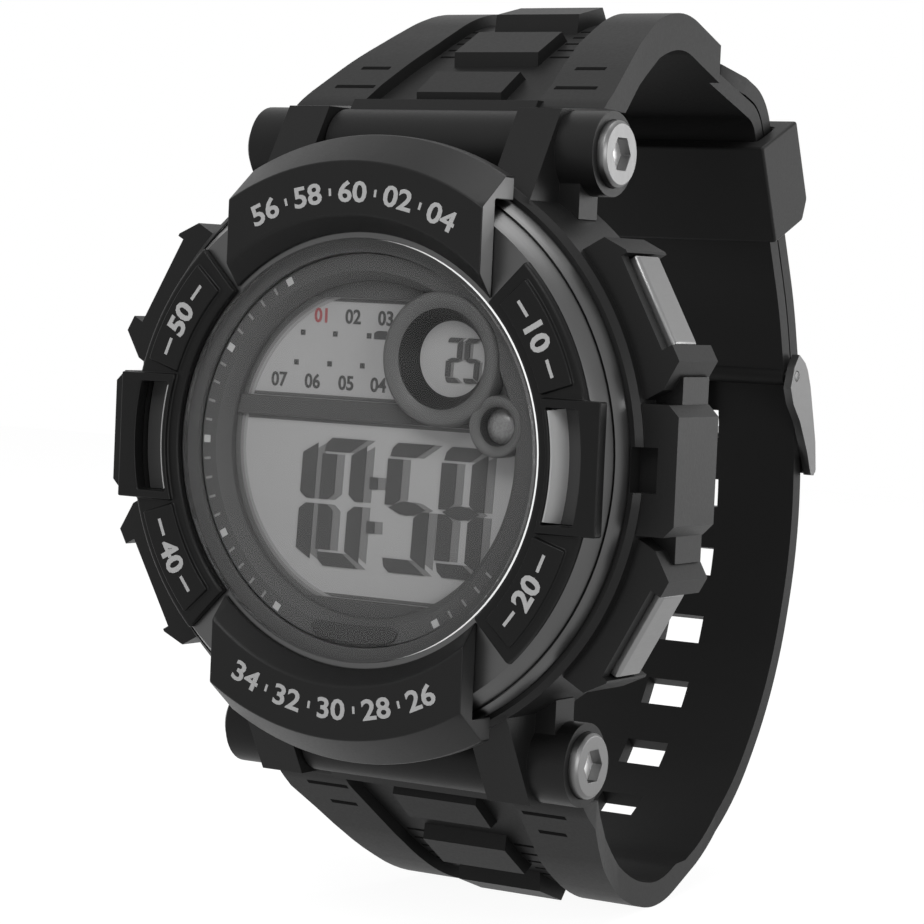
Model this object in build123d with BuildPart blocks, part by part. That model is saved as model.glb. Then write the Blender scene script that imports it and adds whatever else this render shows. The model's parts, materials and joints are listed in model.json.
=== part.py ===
from build123d import *

import os
from math import cos, hypot, radians, sin, tan

# Digital watch on a resin strap, in millimetres.
# +X points to 3 o'clock, +Z to 12 o'clock and the dial faces -Y.
# The origin is the centre of the case back's outer face, and every depth below is
# measured from that face towards the dial, so a depth d lies at y = -d.

# Fits and small gaps
running_fit = 0.05
seat_gap = 0.03
soft_gap = 0.2
overrun = 1.0
edge_break = 0.25

# Glass
glass_radius = 17.3
glass_thickness = 1.6
glass_front = 14.0
glass_gasket_thickness = 0.4

# Bezel ring
ring_radius = 23.9
ring_front = 13.5
ring_seat = 10.5
ring_ledge_radius = 16.2
ring_front_radius = 22.3
ring_groove_radius = 23.2
ring_groove_width = 0.3
ring_rim_drop = 0.7

# Bezel plates at 12 and 6 o'clock
plate_inner_radius = 19.0
plate_foot_radius = 17.8
plate_flat_radius = 23.5
plate_outer_radius = 25.8
plate_front = 15.5
plate_chamfer_depth = 3.5
plate_skirt_depth = 10.7
plate_half_width = 12.3

# Side covers at 3 and 9 o'clock
cover_inner_radius = 17.55
cover_outer_radius = 22.4
cover_thickness = 0.75
cover_half_angle = 45.5
label_inner_radius = 18.5
label_outer_radius = 21.6
label_height = 0.35
label_start_angle = 47.5
label_end_angle = 72.5
hub_reach = 23.3
hub_half_height = 5.3
hub_rise = 0.45
slot_inner_radius = 18.9
slot_outer_radius = 21.7
slot_half_height = 4.6
slot_floor = 12.6
slot_floor_thickness = 0.3
slot_trim_thickness = 0.55
slot_trim_height = 1.2

# Case middle
barrel_radius = 24.8
barrel_back = 0.4
barrel_chamfer = 0.5
cavity_radius = 17.6
guard_proud = 2.8
guard_half_height = 5.2
guard_back = 3.0
guard_front = 9.8
guard_corner = 0.9
guard_slot_half_height = 1.8
guard_slot_width = 2.0
guard_slot_depth = 1.0
guard_slot_inset = 1.7

# Lugs and their pins
pin_depth = 3.0
pin_height = 25.0
pin_radius = 0.9
horn_inner = 9.3
horn_width = 4.1
horn_root = 18.0
horn_front = 10.4
horn_shoulder = 20.3
horn_top = 28.5
horn_tip_front = 5.6
horn_tip_back = 2.0
horn_back_bulge = 0.2
boss_radius = 3.5
boss_width = 3.5
lug_head_radius = 2.75
lug_head_seat = 0.7
lug_head_rise = 0.8
lug_socket_radius = 1.5
lug_socket_depth = 0.9
lug_stud_radius = 0.5
lug_stud_length = 3.0
horn_back_flat = 0.7
foot_reach = 15.3
foot_root = 19.6
foot_top = 23.2
foot_back = 2.4
foot_front = 5.4

# Push buttons, at an angle each side of 3 and 9 o'clock
button_angle = 60.9
button_depth = 6.0
button_length = 8.0
button_height = 3.8
button_thickness = 1.6
button_stand_off = 1.1
button_travel = 0.9
button_end_gap = 0.15
button_crown = 0.35
stem_radius = 0.9
stem_tip_radius = 15.3
saddle_rise = 0.1
housing_root = 21.5
housing_back = 2.6
housing_front = 9.2
housing_wall_gap = 0.15
housing_wall_reach = 26.9
small_ear_half_length = 6.2
small_ear_drop = 0.1
small_ear_slope = 1.3
big_ear_half_length = 7.0
big_ear_rise = 0.3
big_ear_slope = 2.3
big_ear_shoulder = 5.6
web_step = 1.0
web_front = 7.4
web_half_height = 7.4

# Button springs, clips and seals
spring_wire = 0.3
spring_radius = 1.3
spring_turns = 5
spring_pocket_radius = 1.75
spring_pocket_floor = 22.2
clip_radius = 1.7
clip_thickness = 0.4
clip_groove = 0.25
seal_radius = 1.45
seal_inner_wall = 18.4
seal_thickness = 0.7

# Module, seen from the back: battery, circuit board, display
back_thickness = 1.4
back_radius = 19.4
lobe_centre_radius = 20.2
lobe_radius = 2.4
back_dome_radius = 14.0
back_dome_groove = 0.6
back_dome_depth = 0.25
screw_head_radius = 1.35
screw_head_depth = 0.7
screw_radius = 0.7
screw_length = 5.0
screw_slot = 0.4
gasket_inner_radius = 18.0
gasket_width = 0.7
gasket_thickness = 0.6
module_radius = 17.3
buzzer_radius = 9.0
buzzer_thickness = 0.2
buzzer_spring_offset = 8.15
buzzer_spring_radius = 0.45
buzzer_spring_wire = 0.2
buzzer_spring_turns = 6
frame_back = 2.2
frame_ledge = 0.05
battery_radius = 10.0
battery_thickness = 2.5
battery_offset = 3.0
battery_back = 2.8
battery_clip_thickness = 0.25
battery_clip_half_width = 3.0
board_back = 5.3
board_thickness = 0.8
chip_radius = 3.0
chip_height = 1.0
crystal_radius = 0.75
crystal_length = 5.0
crystal_offset = 8.0
display_half_width = 14.3
display_half_height = 13.0
display_corner = 5.6
display_front = 10.0
display_thickness = 1.5
backlight_half_height = 10.4
backlight_thickness = 0.5
connector_width = 1.6
connector_inset = 0.5
notch_half_width = 2.1
notch_half_depth = 1.9
contact_gap = 0.15
notch_floor_radius = stem_tip_radius - button_travel - contact_gap
notch_front_floor_radius = 13.8
tab_height = 1.4
tab_thickness = 0.25
tab_half_width = 1.3
tab_setback = 0.05

# Dial
mask_thickness = 0.4
mask_radius = 17.2
window_radius = 14.0
window_top = 12.4
bar_top = 3.9
bar_bottom = 2.3
window_bottom = 12.5
flange_inner_radius = 13.9
flange_top_radius = 14.7
flange_outer_radius = 16.1
flange_front = 11.9
flange_lip = 0.4
eye_x = 7.4
eye_z = 7.7
eye_outer_radius = 5.3
eye_inner_radius = 3.3
eye_front = 12.1
eye_lip = 0.9
small_ring_x = 12.7
small_ring_z = 2.5
small_ring_outer_radius = 2.05
small_ring_inner_radius = 1.4
small_ring_front = 11.6
small_ring_base = 0.4

# Strap: the line is the loop's outer surface, seen from 3 o'clock, from the lower lug
# round the back to the upper lug, as shares of the loop's depth and half height.
loop_depth = 49.4
loop_overhang = 15.0
loop_shares = [
    (-0.024, -0.715),
    (0.172, -0.915),
    (0.294, -0.998),
    (0.435, -1.030),
    (0.739, -0.900),
    (0.927, -0.588),
    (1.000, -0.238),
    (0.984, 0.075),
    (0.925, 0.340),
    (0.761, 0.815),
    (0.524, 0.908),
    (0.375, 0.965),
    (0.273, 0.945),
    (0.125, 0.854),
    (-0.048, 0.715),
]
loop_inside_shares = [(-0.222, 0.433), (-0.111, -0.300)]
loop_bend_shares = [0.2] + 7 * [0.48] + [0.2455, 0.2091] + 4 * [0.48] + [0.2] + 2 * [0.48]
strap_thickness = 1.5
strap_layer_gap = 0.2
shoulder_base = 28.75
shoulder_thickness = 2.2
thick_end_share = (0.32, -0.945)
thin_start_share = (0.61, -0.940)
step_share = 0.526
tail_share = 0.533
strap_half_width = 10.3
shoulder_half_width = 15.5
shoulder_shares = [
    (-0.08, 1.0),
    (0.0, 0.968),
    (0.089, 0.903),
    (0.164, 0.839),
    (0.269, 0.774),
    (0.526, 0.73),
]
taper_shares = [
    (-0.08, 1.0),
    (0.038, 1.0),
    (0.089, 0.935),
    (0.148, 0.871),
    (0.239, 0.806),
    (0.42, 0.75),
    (0.60, 0.70),
]
narrow_share = 0.70
tail_tip_length = 7.0
tail_tip_shares = [(1.0, 1.0), (0.55, 0.90), (0.20, 0.62), (0.0, 0.25)]
knuckle_radius = 3.4
neck_front = 2.3
neck_back = 2.3
neck_top = 0.6

# Strap holes, counted from the one that the prong goes through
hole_width = 4.4
hole_height = 2.7
hole_pitch = 7.0
holes_below = 6
holes_above = 3

# Sunk middle of the strap shoulders, as (half width, depth) shares, with three raised
# blocks in it, placed along the outer line from each lug
channel_depth = 1.0
channel_half_width = 9.0
channel_shares = [(1.0, -0.16), (0.94, 0.02), (0.79, 0.155), (0.73, 0.30), (0.62, 0.45)]
block_root = 1.3
block_slope = 0.7
block_half_width = 4.2
block_places = [4.6, 12.0, 19.6]
block_lengths = [3.6, 4.4, 4.2]
block_heights = [0.0, 0.1, 0.4]

# Keeper
keeper_start = 0.6
keeper_length = 9.4
keeper_half_width = 12.0
keeper_outer_wall = 2.1
keeper_inner_wall = 1.9
keeper_chamfer_length = 1.6
keeper_chamfer_rise = 1.5
keeper_gap = 0.2

# Buckle, seen along its hinge. The arm's shares of its length run along the strap and
# outwards, from the hinge on its inner side and from the strap's outer face on the other.
hinge_distance = 9.3
hinge_pin_radius = 0.5
eyelet_radius = 0.95
frame_half_width = 11.4
frame_wall = 0.8
frame_length = 10.5
arm_inner_shares = [
    (0.181, 0.081),
    (0.095, -0.033),
    (-0.076, -0.138),
    (-0.238, -0.105),
    (-0.429, 0.005),
    (-0.600, 0.062),
    (-0.762, 0.114),
    (-0.895, 0.138),
    (-0.981, 0.157),
]
arm_outer_shares = [
    (-1.000, -0.038),
    (-0.962, 0.014),
    (-0.705, 0.043),
    (-0.495, 0.033),
    (-0.333, 0.024),
    (-0.171, 0.014),
    (-0.010, -0.019),
    (0.076, -0.062),
]
bar_width = 1.7
bar_lip = 0.2
bar_inner = 0.3
bar_outer = 0.3
bar_notch = 0.35
prong_hole_distance = 5.7
prong_half_width = 1.4
prong_slot_gap = 0.25
prong_thickness = 0.7
prong_inner_run = 5.12
prong_inner_rise = 0.2
prong_rise_run = 1.93
prong_tip_setback = 0.3


# Helpers

def face_plane(depth):
    """Sketch plane at a depth, seen from the dial side: local x is +X and local y is +Z."""
    return Plane(origin=(0, -depth, 0), x_dir=(1, 0, 0), z_dir=(0, -1, 0))


turning_plane = Plane(origin=(0, 0, 0), x_dir=(1, 0, 0), z_dir=(0, 0, -1))
dial_axis = Axis((0, 0, 0), (0, -1, 0))


def button_plane(angle, radius):
    """Plane square to a button's travel: local x runs clockwise, local z points outwards."""
    turn = radians(angle)
    return Plane(
        origin=(radius * sin(turn), -button_depth, radius * cos(turn)),
        x_dir=(cos(turn), 0, -sin(turn)),
        z_dir=(sin(turn), 0, cos(turn)),
    )


def clock_point(angle, radius, across=0):
    """Point (x, z) at a clockwise angle from 12 o'clock, moved clockwise by a length across."""
    turn = radians(angle)
    return (
        radius * sin(turn) + across * cos(turn),
        radius * cos(turn) - across * sin(turn),
    )


def turned_ring(points):
    """Solid turned about the dial's axis from (radius, depth) points."""
    with BuildPart(mode=Mode.PRIVATE) as ring:
        with BuildSketch(turning_plane):
            with BuildLine():
                Polyline(*points, close=True)
            make_face()
        revolve(axis=dial_axis)
    return ring.part


def tube(inner_radius, outer_radius, back, front):
    """Flat ring between two depths."""
    with BuildPart(mode=Mode.PRIVATE) as ring:
        with BuildSketch(face_plane(back)):
            Circle(outer_radius)
            Circle(inner_radius, mode=Mode.SUBTRACT)
        extrude(amount=front - back)
    return ring.part


def disc(radius, back, front, x=0, z=0):
    """Flat disc between two depths, centred on (x, z)."""
    with BuildPart(mode=Mode.PRIVATE) as plate:
        with BuildSketch(face_plane(back)):
            with Locations((x, z)):
                Circle(radius)
        extrude(amount=front - back)
    return plate.part


def slab(points, back, front):
    """Flat plate between two depths from (x, z) points."""
    with BuildPart(mode=Mode.PRIVATE) as plate:
        with BuildSketch(face_plane(back)):
            with BuildLine():
                Polyline(*points, close=True)
            make_face()
        extrude(amount=front - back)
    return plate.part


def cross_bar(points, half_width):
    """Prism along X from (y, z) points."""
    with BuildPart(mode=Mode.PRIVATE) as bar:
        with BuildSketch(Plane.YZ):
            with BuildLine():
                Polyline(*points, close=True)
            make_face()
        extrude(amount=half_width, both=True)
    return bar.part


def cross_rod(radius, y, z, x_start, x_end):
    """Round rod along X."""
    with BuildPart(mode=Mode.PRIVATE) as rod:
        with BuildSketch(Plane.YZ.offset(x_start)):
            with Locations((y, z)):
                Circle(radius)
        extrude(amount=x_end - x_start)
    return rod.part


def save(builder, name):
    """Label a finished piece and write it to the parts folder."""
    builder.part.label = name
    export_step(builder.part, f"parts/{name}.step")


os.makedirs("parts", exist_ok=True)

button_angles = {
    "2h": button_angle,
    "4h": 180 - button_angle,
    "8h": 180 + button_angle,
    "10h": 360 - button_angle,
}
guard_side = {"2h": 1, "4h": -1, "8h": 1, "10h": -1}
horn_outer = horn_inner + horn_width
boss_face = horn_outer + boss_width


# Case middle: the resin body with the lugs, guards and button housings

def button_prism(angle, points, back, front):
    """Prism between two depths from (across, radius) points seen along a button's angle."""
    return slab([clock_point(angle, reach, across) for across, reach in points], back, front)


def lug_profile(half):
    """Side outline of a lug horn, above the dial for half = 1 and below it for -1."""
    return [
        (-barrel_back, half * horn_root),
        (-horn_front, half * horn_root),
        (-horn_front, half * horn_shoulder),
        (-horn_tip_front, half * horn_top),
        (-horn_tip_back, half * horn_top),
        (horn_back_bulge, half * (pin_height + horn_back_flat)),
        (horn_back_bulge, half * (pin_height - horn_back_flat)),
        (-barrel_back, half * horn_shoulder),
    ]


def button_bore(angle, radius, inner, outer):
    """Round bore along a button's travel between two radii."""
    with BuildPart(mode=Mode.PRIVATE) as bore:
        with BuildSketch(button_plane(angle, inner)):
            Circle(radius)
        extrude(amount=outer - inner)
    return bore.part


def back_outline(margin=0):
    """Case back outline, a disc with four screw lobes, grown by a margin."""
    with BuildSketch(face_plane(0), mode=Mode.PRIVATE) as outline:
        Circle(back_radius + margin)
        with PolarLocations(lobe_centre_radius, 4, start_angle=45):
            Circle(lobe_radius + margin)
    return outline.sketch


def notch_cut(back, front, floor_radius):
    """Four notches that clear the button stems and their clips inside the case."""
    with BuildPart(mode=Mode.PRIVATE) as notches:
        for angle in button_angles.values():
            outline = [
                (-notch_half_width, floor_radius),
                (notch_half_width, floor_radius),
                (notch_half_width, cavity_radius + overrun),
                (-notch_half_width, cavity_radius + overrun),
            ]
            add(button_prism(angle, outline, back, front))
    return notches.part


guard_reach = barrel_radius + guard_proud
web_reach = guard_reach - web_step
guard_outline = [
    (housing_root, -guard_half_height),
    (guard_reach - guard_corner, -guard_half_height),
    (guard_reach, -guard_half_height + guard_corner),
    (guard_reach, guard_half_height - guard_corner),
    (guard_reach - guard_corner, guard_half_height),
    (housing_root, guard_half_height),
]
guard_slot_outer = guard_reach - guard_slot_inset
guard_slot_outline = [
    (guard_slot_outer - guard_slot_width, -guard_slot_half_height),
    (guard_slot_outer, -guard_slot_half_height),
    (guard_slot_outer, guard_slot_half_height),
    (guard_slot_outer - guard_slot_width, guard_slot_half_height),
]
saddle_half_length = button_length / 2 + button_end_gap
saddle_radius = barrel_radius + saddle_rise
housing_wall_back = button_depth + button_height / 2 + housing_wall_gap
button_face_radius = saddle_radius + button_stand_off + button_thickness
small_ear_tip = button_face_radius - small_ear_drop
small_ear_side = small_ear_tip - small_ear_slope
big_ear_tip = button_face_radius + big_ear_rise
big_ear_side = big_ear_tip - big_ear_slope
screw_places = PolarLocations(lobe_centre_radius, 4, start_angle=45)

with BuildPart() as case_middle:
    add(disc(barrel_radius, barrel_back, ring_seat))
    chamfer(case_middle.edges().filter_by(GeomType.CIRCLE), length=barrel_chamfer)
    for side in (1, -1):
        add(slab([(side * x, z) for x, z in guard_outline], guard_back, guard_front))
        web = [
            (side * housing_root, -web_half_height),
            (side * web_reach, -web_half_height),
            (side * web_reach, web_half_height),
            (side * housing_root, web_half_height),
        ]
        add(slab(web, guard_back, web_front))
        recess = [(side * x, z) for x, z in guard_slot_outline]
        add(slab(recess, guard_front - guard_slot_depth, guard_front + overrun), mode=Mode.SUBTRACT)
    for half in (1, -1):
        for side in (1, -1):
            with BuildSketch(Plane.YZ.offset(side * horn_inner)):
                with BuildLine():
                    Polyline(*lug_profile(half), close=True)
                make_face()
            extrude(amount=side * horn_width)
            with BuildSketch(Plane.YZ.offset(side * horn_outer)):
                with Locations((-pin_depth, half * pin_height)):
                    Circle(boss_radius)
            extrude(amount=side * boss_width)
            foot = [
                (side * horn_inner, half * foot_root),
                (side * foot_reach, half * foot_root),
                (side * foot_reach, half * foot_top),
                (side * horn_inner, half * foot_top),
            ]
            add(slab(foot, foot_back, foot_front))
    for hour, angle in button_angles.items():
        guard = guard_side[hour]
        small_ear = [
            (-guard * small_ear_half_length, housing_root),
            (-guard * small_ear_half_length, small_ear_side),
            (-guard * (saddle_half_length + edge_break), small_ear_tip),
            (-guard * saddle_half_length, small_ear_tip),
            (-guard * saddle_half_length, housing_root),
        ]
        big_ear = [
            (guard * big_ear_half_length, housing_root),
            (guard * big_ear_half_length, big_ear_side),
            (guard * big_ear_shoulder, big_ear_tip),
            (guard * saddle_half_length, big_ear_tip),
            (guard * saddle_half_length, housing_root),
        ]
        saddle = [
            (-saddle_half_length, housing_root),
            (saddle_half_length, housing_root),
            (saddle_half_length, saddle_radius),
            (-saddle_half_length, saddle_radius),
        ]
        for outline in (small_ear, big_ear, saddle):
            add(button_prism(angle, outline, housing_back, housing_front))
        wall = [
            (-saddle_half_length, housing_root),
            (saddle_half_length, housing_root),
            (saddle_half_length, housing_wall_reach),
            (-saddle_half_length, housing_wall_reach),
        ]
        add(button_prism(angle, wall, housing_wall_back, housing_front))
    add(disc(cavity_radius, 0, ring_seat + overrun), mode=Mode.SUBTRACT)
    add(tube(gasket_inner_radius, gasket_inner_radius + gasket_width, 0, back_thickness
             + gasket_thickness), mode=Mode.SUBTRACT)
    with BuildSketch(face_plane(0)):
        add(back_outline(seat_gap))
    extrude(amount=back_thickness, mode=Mode.SUBTRACT)
    with BuildSketch(face_plane(0)):
        with screw_places:
            Circle(screw_radius)
    extrude(amount=screw_length + back_thickness, mode=Mode.SUBTRACT)
    for angle in button_angles.values():
        bore_radius = stem_radius + running_fit
        bore_end = saddle_radius + overrun
        add(button_bore(angle, bore_radius, notch_floor_radius, bore_end), mode=Mode.SUBTRACT)
        add(button_bore(angle, spring_pocket_radius, spring_pocket_floor, bore_end),
            mode=Mode.SUBTRACT)
        add(button_bore(angle, seal_radius, seal_inner_wall, seal_inner_wall + seal_thickness),
            mode=Mode.SUBTRACT)
    for half in (1, -1):
        pin_z = half * pin_height
        knuckle_clearance = knuckle_radius + soft_gap
        add(cross_rod(knuckle_clearance, -pin_depth, pin_z, -horn_inner, horn_inner),
            mode=Mode.SUBTRACT)
        add(cross_rod(pin_radius, -pin_depth, pin_z, -boss_face, boss_face), mode=Mode.SUBTRACT)
        head_bore = lug_head_radius + running_fit
        head_seat = boss_face - lug_head_seat
        add(cross_rod(head_bore, -pin_depth, pin_z, head_seat, boss_face), mode=Mode.SUBTRACT)
        add(cross_rod(head_bore, -pin_depth, pin_z, -boss_face, -head_seat), mode=Mode.SUBTRACT)
save(case_middle, "case_middle")


# Bezel ring, its plates and side covers

rim_top = ring_front - ring_rim_drop
glass_seat = glass_front - glass_thickness
gasket_seat = glass_seat - glass_gasket_thickness
groove_outer_radius = ring_groove_radius + ring_groove_width
glass_bore_radius = glass_radius + running_fit


def slot_sector(inner_radius, outer_radius, margin, back, front):
    """Curved slot shapes at 3 and 9 o'clock, cut by two level lines."""
    with BuildPart(mode=Mode.PRIVATE) as slots:
        with BuildSketch(face_plane(back)):
            Circle(outer_radius)
            Circle(inner_radius, mode=Mode.SUBTRACT)
            Rectangle(2 * ring_radius, 2 * (slot_half_height - margin), mode=Mode.INTERSECT)
        extrude(amount=front - back)
    return slots.part


with BuildPart() as bezel_ring:
    add(turned_ring([
        (ring_ledge_radius, ring_seat),
        (ring_radius, ring_seat),
        (ring_radius, rim_top - edge_break),
        (ring_radius - edge_break, rim_top),
        (groove_outer_radius, rim_top),
        (groove_outer_radius, rim_top - ring_groove_width),
        (ring_groove_radius, rim_top - ring_groove_width),
        (ring_groove_radius, rim_top),
        (ring_front_radius, ring_front),
        (glass_bore_radius, ring_front),
        (glass_bore_radius, gasket_seat),
        (ring_ledge_radius, gasket_seat),
    ]))
    add(slot_sector(slot_inner_radius, slot_outer_radius, 0, slot_floor, ring_front + overrun),
        mode=Mode.SUBTRACT)
save(bezel_ring, "bezel_ring")

with BuildPart() as bezel_plate_top:
    add(turned_ring([
        (plate_foot_radius, ring_front),
        (plate_foot_radius, ring_front + edge_break),
        (plate_inner_radius, plate_front - edge_break),
        (plate_inner_radius + edge_break, plate_front),
        (plate_flat_radius, plate_front),
        (plate_outer_radius, plate_front - plate_chamfer_depth),
        (plate_outer_radius, plate_skirt_depth),
        (ring_radius + soft_gap, plate_skirt_depth),
        (ring_radius + soft_gap, ring_front),
    ]))
    add(slab([
        (-plate_half_width, 0),
        (plate_half_width, 0),
        (plate_half_width, plate_outer_radius + overrun),
        (-plate_half_width, plate_outer_radius + overrun),
    ], 0, plate_front + overrun), mode=Mode.INTERSECT)
save(bezel_plate_top, "bezel_plate_top")

with BuildPart() as bezel_plate_bottom:
    mirror(bezel_plate_top.part, about=Plane.XY)
save(bezel_plate_bottom, "bezel_plate_bottom")

cover_front = ring_front + cover_thickness
far_reach = 2 * ring_radius


def sector(start_angle, end_angle, back, front):
    """Wedge between two clockwise angles from 12 o'clock."""
    middle = (start_angle + end_angle) / 2
    return slab([
        (0, 0),
        clock_point(start_angle, far_reach),
        clock_point(middle, far_reach),
        clock_point(end_angle, far_reach),
    ], back, front)


def label_panel(start_angle, end_angle):
    """Raised label panel on a side cover."""
    with BuildPart(mode=Mode.PRIVATE) as panel:
        add(tube(label_inner_radius, label_outer_radius, cover_front, cover_front + label_height))
        add(sector(start_angle, end_angle, cover_front, cover_front + label_height),
            mode=Mode.INTERSECT)
    return panel.part


def hub_block():
    """Block round the slot in the middle of a side cover."""
    with BuildPart(mode=Mode.PRIVATE) as hub:
        add(slab([
            (0, -hub_half_height),
            (hub_reach, -hub_half_height),
            (hub_reach, hub_half_height),
            (0, hub_half_height),
        ], ring_front, cover_front + hub_rise))
        add(disc(label_inner_radius, ring_front, cover_front + hub_rise), mode=Mode.SUBTRACT)
    return hub.part


with BuildPart() as side_cover_right:
    add(turned_ring([
        (cover_inner_radius, ring_front),
        (cover_inner_radius, cover_front - edge_break),
        (cover_inner_radius + edge_break, cover_front),
        (cover_outer_radius - edge_break, cover_front),
        (cover_outer_radius, cover_front - edge_break),
        (cover_outer_radius, ring_front),
    ]))
    add(sector(90 - cover_half_angle, 90 + cover_half_angle, 0, plate_front), mode=Mode.INTERSECT)
    add(hub_block())
    add(label_panel(label_start_angle, label_end_angle))
    add(label_panel(180 - label_end_angle, 180 - label_start_angle))
    add(slot_sector(slot_inner_radius, slot_outer_radius, 0, ring_front, plate_front),
        mode=Mode.SUBTRACT)
save(side_cover_right, "side_cover_right")

with BuildPart() as side_cover_left:
    mirror(side_cover_right.part, about=Plane.YZ)
save(side_cover_left, "side_cover_left")

slot_bed = slot_floor + slot_floor_thickness
with BuildPart() as slot_floors:
    add(slot_sector(slot_inner_radius + seat_gap, slot_outer_radius - seat_gap, seat_gap,
                    slot_floor, slot_bed))
save(slot_floors, "slot_floors")

with BuildPart() as slot_trims:
    add(slot_sector(slot_inner_radius + seat_gap, slot_inner_radius + slot_trim_thickness, seat_gap,
                    slot_bed, slot_bed + slot_trim_height))
save(slot_trims, "slot_trims")


# Glass and dial

with BuildPart() as glass:
    add(disc(glass_radius, glass_seat, glass_front))
    chamfer(glass.edges().group_by(Axis.Y)[0], length=edge_break)
save(glass, "glass")

with BuildPart() as glass_gasket:
    add(tube(ring_ledge_radius, glass_radius, gasket_seat, glass_seat))
save(glass_gasket, "glass_gasket")

mask_front = display_front + mask_thickness


def band(bottom, top, back, front):
    """Window in the mask: the dial opening between two levels."""
    with BuildPart(mode=Mode.PRIVATE) as window:
        with BuildSketch(face_plane(back)):
            Circle(window_radius)
            with Locations((0, (bottom + top) / 2)):
                Rectangle(2 * ring_radius, top - bottom, mode=Mode.INTERSECT)
        extrude(amount=front - back)
    return window.part


with BuildPart() as dial_mask:
    add(disc(mask_radius, display_front, mask_front))
    add(band(bar_top, window_top, display_front, mask_front), mode=Mode.SUBTRACT)
    add(band(-window_bottom, bar_bottom, display_front, mask_front), mode=Mode.SUBTRACT)
save(dial_mask, "dial_mask")

with BuildPart() as dial_flange:
    add(turned_ring([
        (flange_inner_radius, mask_front),
        (flange_outer_radius, mask_front),
        (flange_outer_radius, flange_front),
        (flange_top_radius, flange_front),
        (flange_inner_radius, mask_front + flange_lip),
    ]))
    add(disc(eye_outer_radius + seat_gap, mask_front, flange_front, eye_x, eye_z),
        mode=Mode.SUBTRACT)
    add(disc(small_ring_outer_radius + seat_gap, mask_front, flange_front, small_ring_x,
             small_ring_z), mode=Mode.SUBTRACT)
save(dial_flange, "dial_flange")

with BuildPart() as eye_ring:
    add(disc(eye_outer_radius, mask_front, eye_front, eye_x, eye_z))
    add(disc(eye_inner_radius, mask_front, eye_front, eye_x, eye_z), mode=Mode.SUBTRACT)
    chamfer(eye_ring.edges().filter_by(GeomType.CIRCLE).group_by(Axis.Y)[0], length=eye_lip)
    add(disc(flange_outer_radius, mask_front, eye_front), mode=Mode.INTERSECT)
save(eye_ring, "eye_ring")

with BuildPart() as small_ring:
    add(disc(small_ring_outer_radius, mask_front, small_ring_front, small_ring_x, small_ring_z))
    add(disc(small_ring_inner_radius, mask_front + small_ring_base, small_ring_front, small_ring_x,
             small_ring_z), mode=Mode.SUBTRACT)
save(small_ring, "small_ring")


# Module: display, light panel, connectors, frames, board, battery and buzzer

def display_outline(margin=0):
    """Display glass outline, a rectangle with cut corners, grown by a margin."""
    width = display_half_width + margin
    height = display_half_height + margin
    return [
        (-width, -height + display_corner),
        (-width + display_corner, -height),
        (width - display_corner, -height),
        (width, -height + display_corner),
        (width, height - display_corner),
        (width - display_corner, height),
        (-width + display_corner, height),
        (-width, height - display_corner),
    ]


display_back = display_front - display_thickness
board_front = board_back + board_thickness
light_back = display_back - backlight_thickness - frame_ledge
light_half_width = display_half_width - connector_width
connector_centre = display_half_height - connector_inset - connector_width / 2
connector_length = 2 * (display_half_width - display_corner)
notch_back = button_depth - notch_half_depth
notch_front = button_depth + notch_half_depth


def plain_box(half_width, half_height, back, front, x=0, z=0):
    """Rectangular block between two depths, centred on (x, z)."""
    return slab([
        (x - half_width, z - half_height),
        (x + half_width, z - half_height),
        (x + half_width, z + half_height),
        (x - half_width, z + half_height),
    ], back, front)


with BuildPart() as lcd_panel:
    add(slab(display_outline(), display_back, display_front))
save(lcd_panel, "lcd_panel")

with BuildPart() as backlight_panel:
    add(plain_box(light_half_width, backlight_half_height, light_back + frame_ledge, display_back))
save(backlight_panel, "backlight_panel")

with BuildPart() as lcd_connectors:
    for half in (1, -1):
        add(plain_box(connector_length / 2, connector_width / 2, board_front, display_back,
                      z=half * connector_centre))
save(lcd_connectors, "lcd_connectors")

with BuildPart() as chip_cap:
    add(disc(chip_radius, board_front, board_front + chip_height))
    fillet(chip_cap.edges().group_by(Axis.Y)[0], radius=chip_height / 2)
save(chip_cap, "chip_cap")

crystal_depth = board_front + crystal_radius
with BuildPart() as quartz_crystal:
    add(cross_rod(crystal_radius, -crystal_depth, -crystal_offset, -crystal_length / 2,
                  crystal_length / 2))
save(quartz_crystal, "quartz_crystal")

with BuildPart() as module_frame_front:
    add(disc(module_radius, board_front, display_front))
    add(slab(display_outline(seat_gap), display_back, display_front), mode=Mode.SUBTRACT)
    add(plain_box(light_half_width + seat_gap, backlight_half_height + seat_gap, light_back,
                  display_back), mode=Mode.SUBTRACT)
    for half in (1, -1):
        add(plain_box(connector_length / 2 + seat_gap, connector_width / 2 + seat_gap, board_front,
                      display_back, z=half * connector_centre), mode=Mode.SUBTRACT)
    add(disc(chip_radius + soft_gap, board_front, display_back), mode=Mode.SUBTRACT)
    add(plain_box(crystal_length / 2 + soft_gap, crystal_radius + soft_gap, board_front,
                  display_back, z=-crystal_offset), mode=Mode.SUBTRACT)
    add(notch_cut(board_front, notch_front, notch_front_floor_radius), mode=Mode.SUBTRACT)
save(module_frame_front, "module_frame_front")

with BuildPart() as circuit_board:
    add(disc(module_radius - soft_gap, board_back, board_front))
    add(notch_cut(board_back, board_front, notch_floor_radius), mode=Mode.SUBTRACT)
save(circuit_board, "circuit_board")

battery_bore = battery_radius + running_fit
clip_seat = battery_back - battery_clip_thickness - frame_ledge
clip_half_length = battery_radius + battery_thickness

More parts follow.
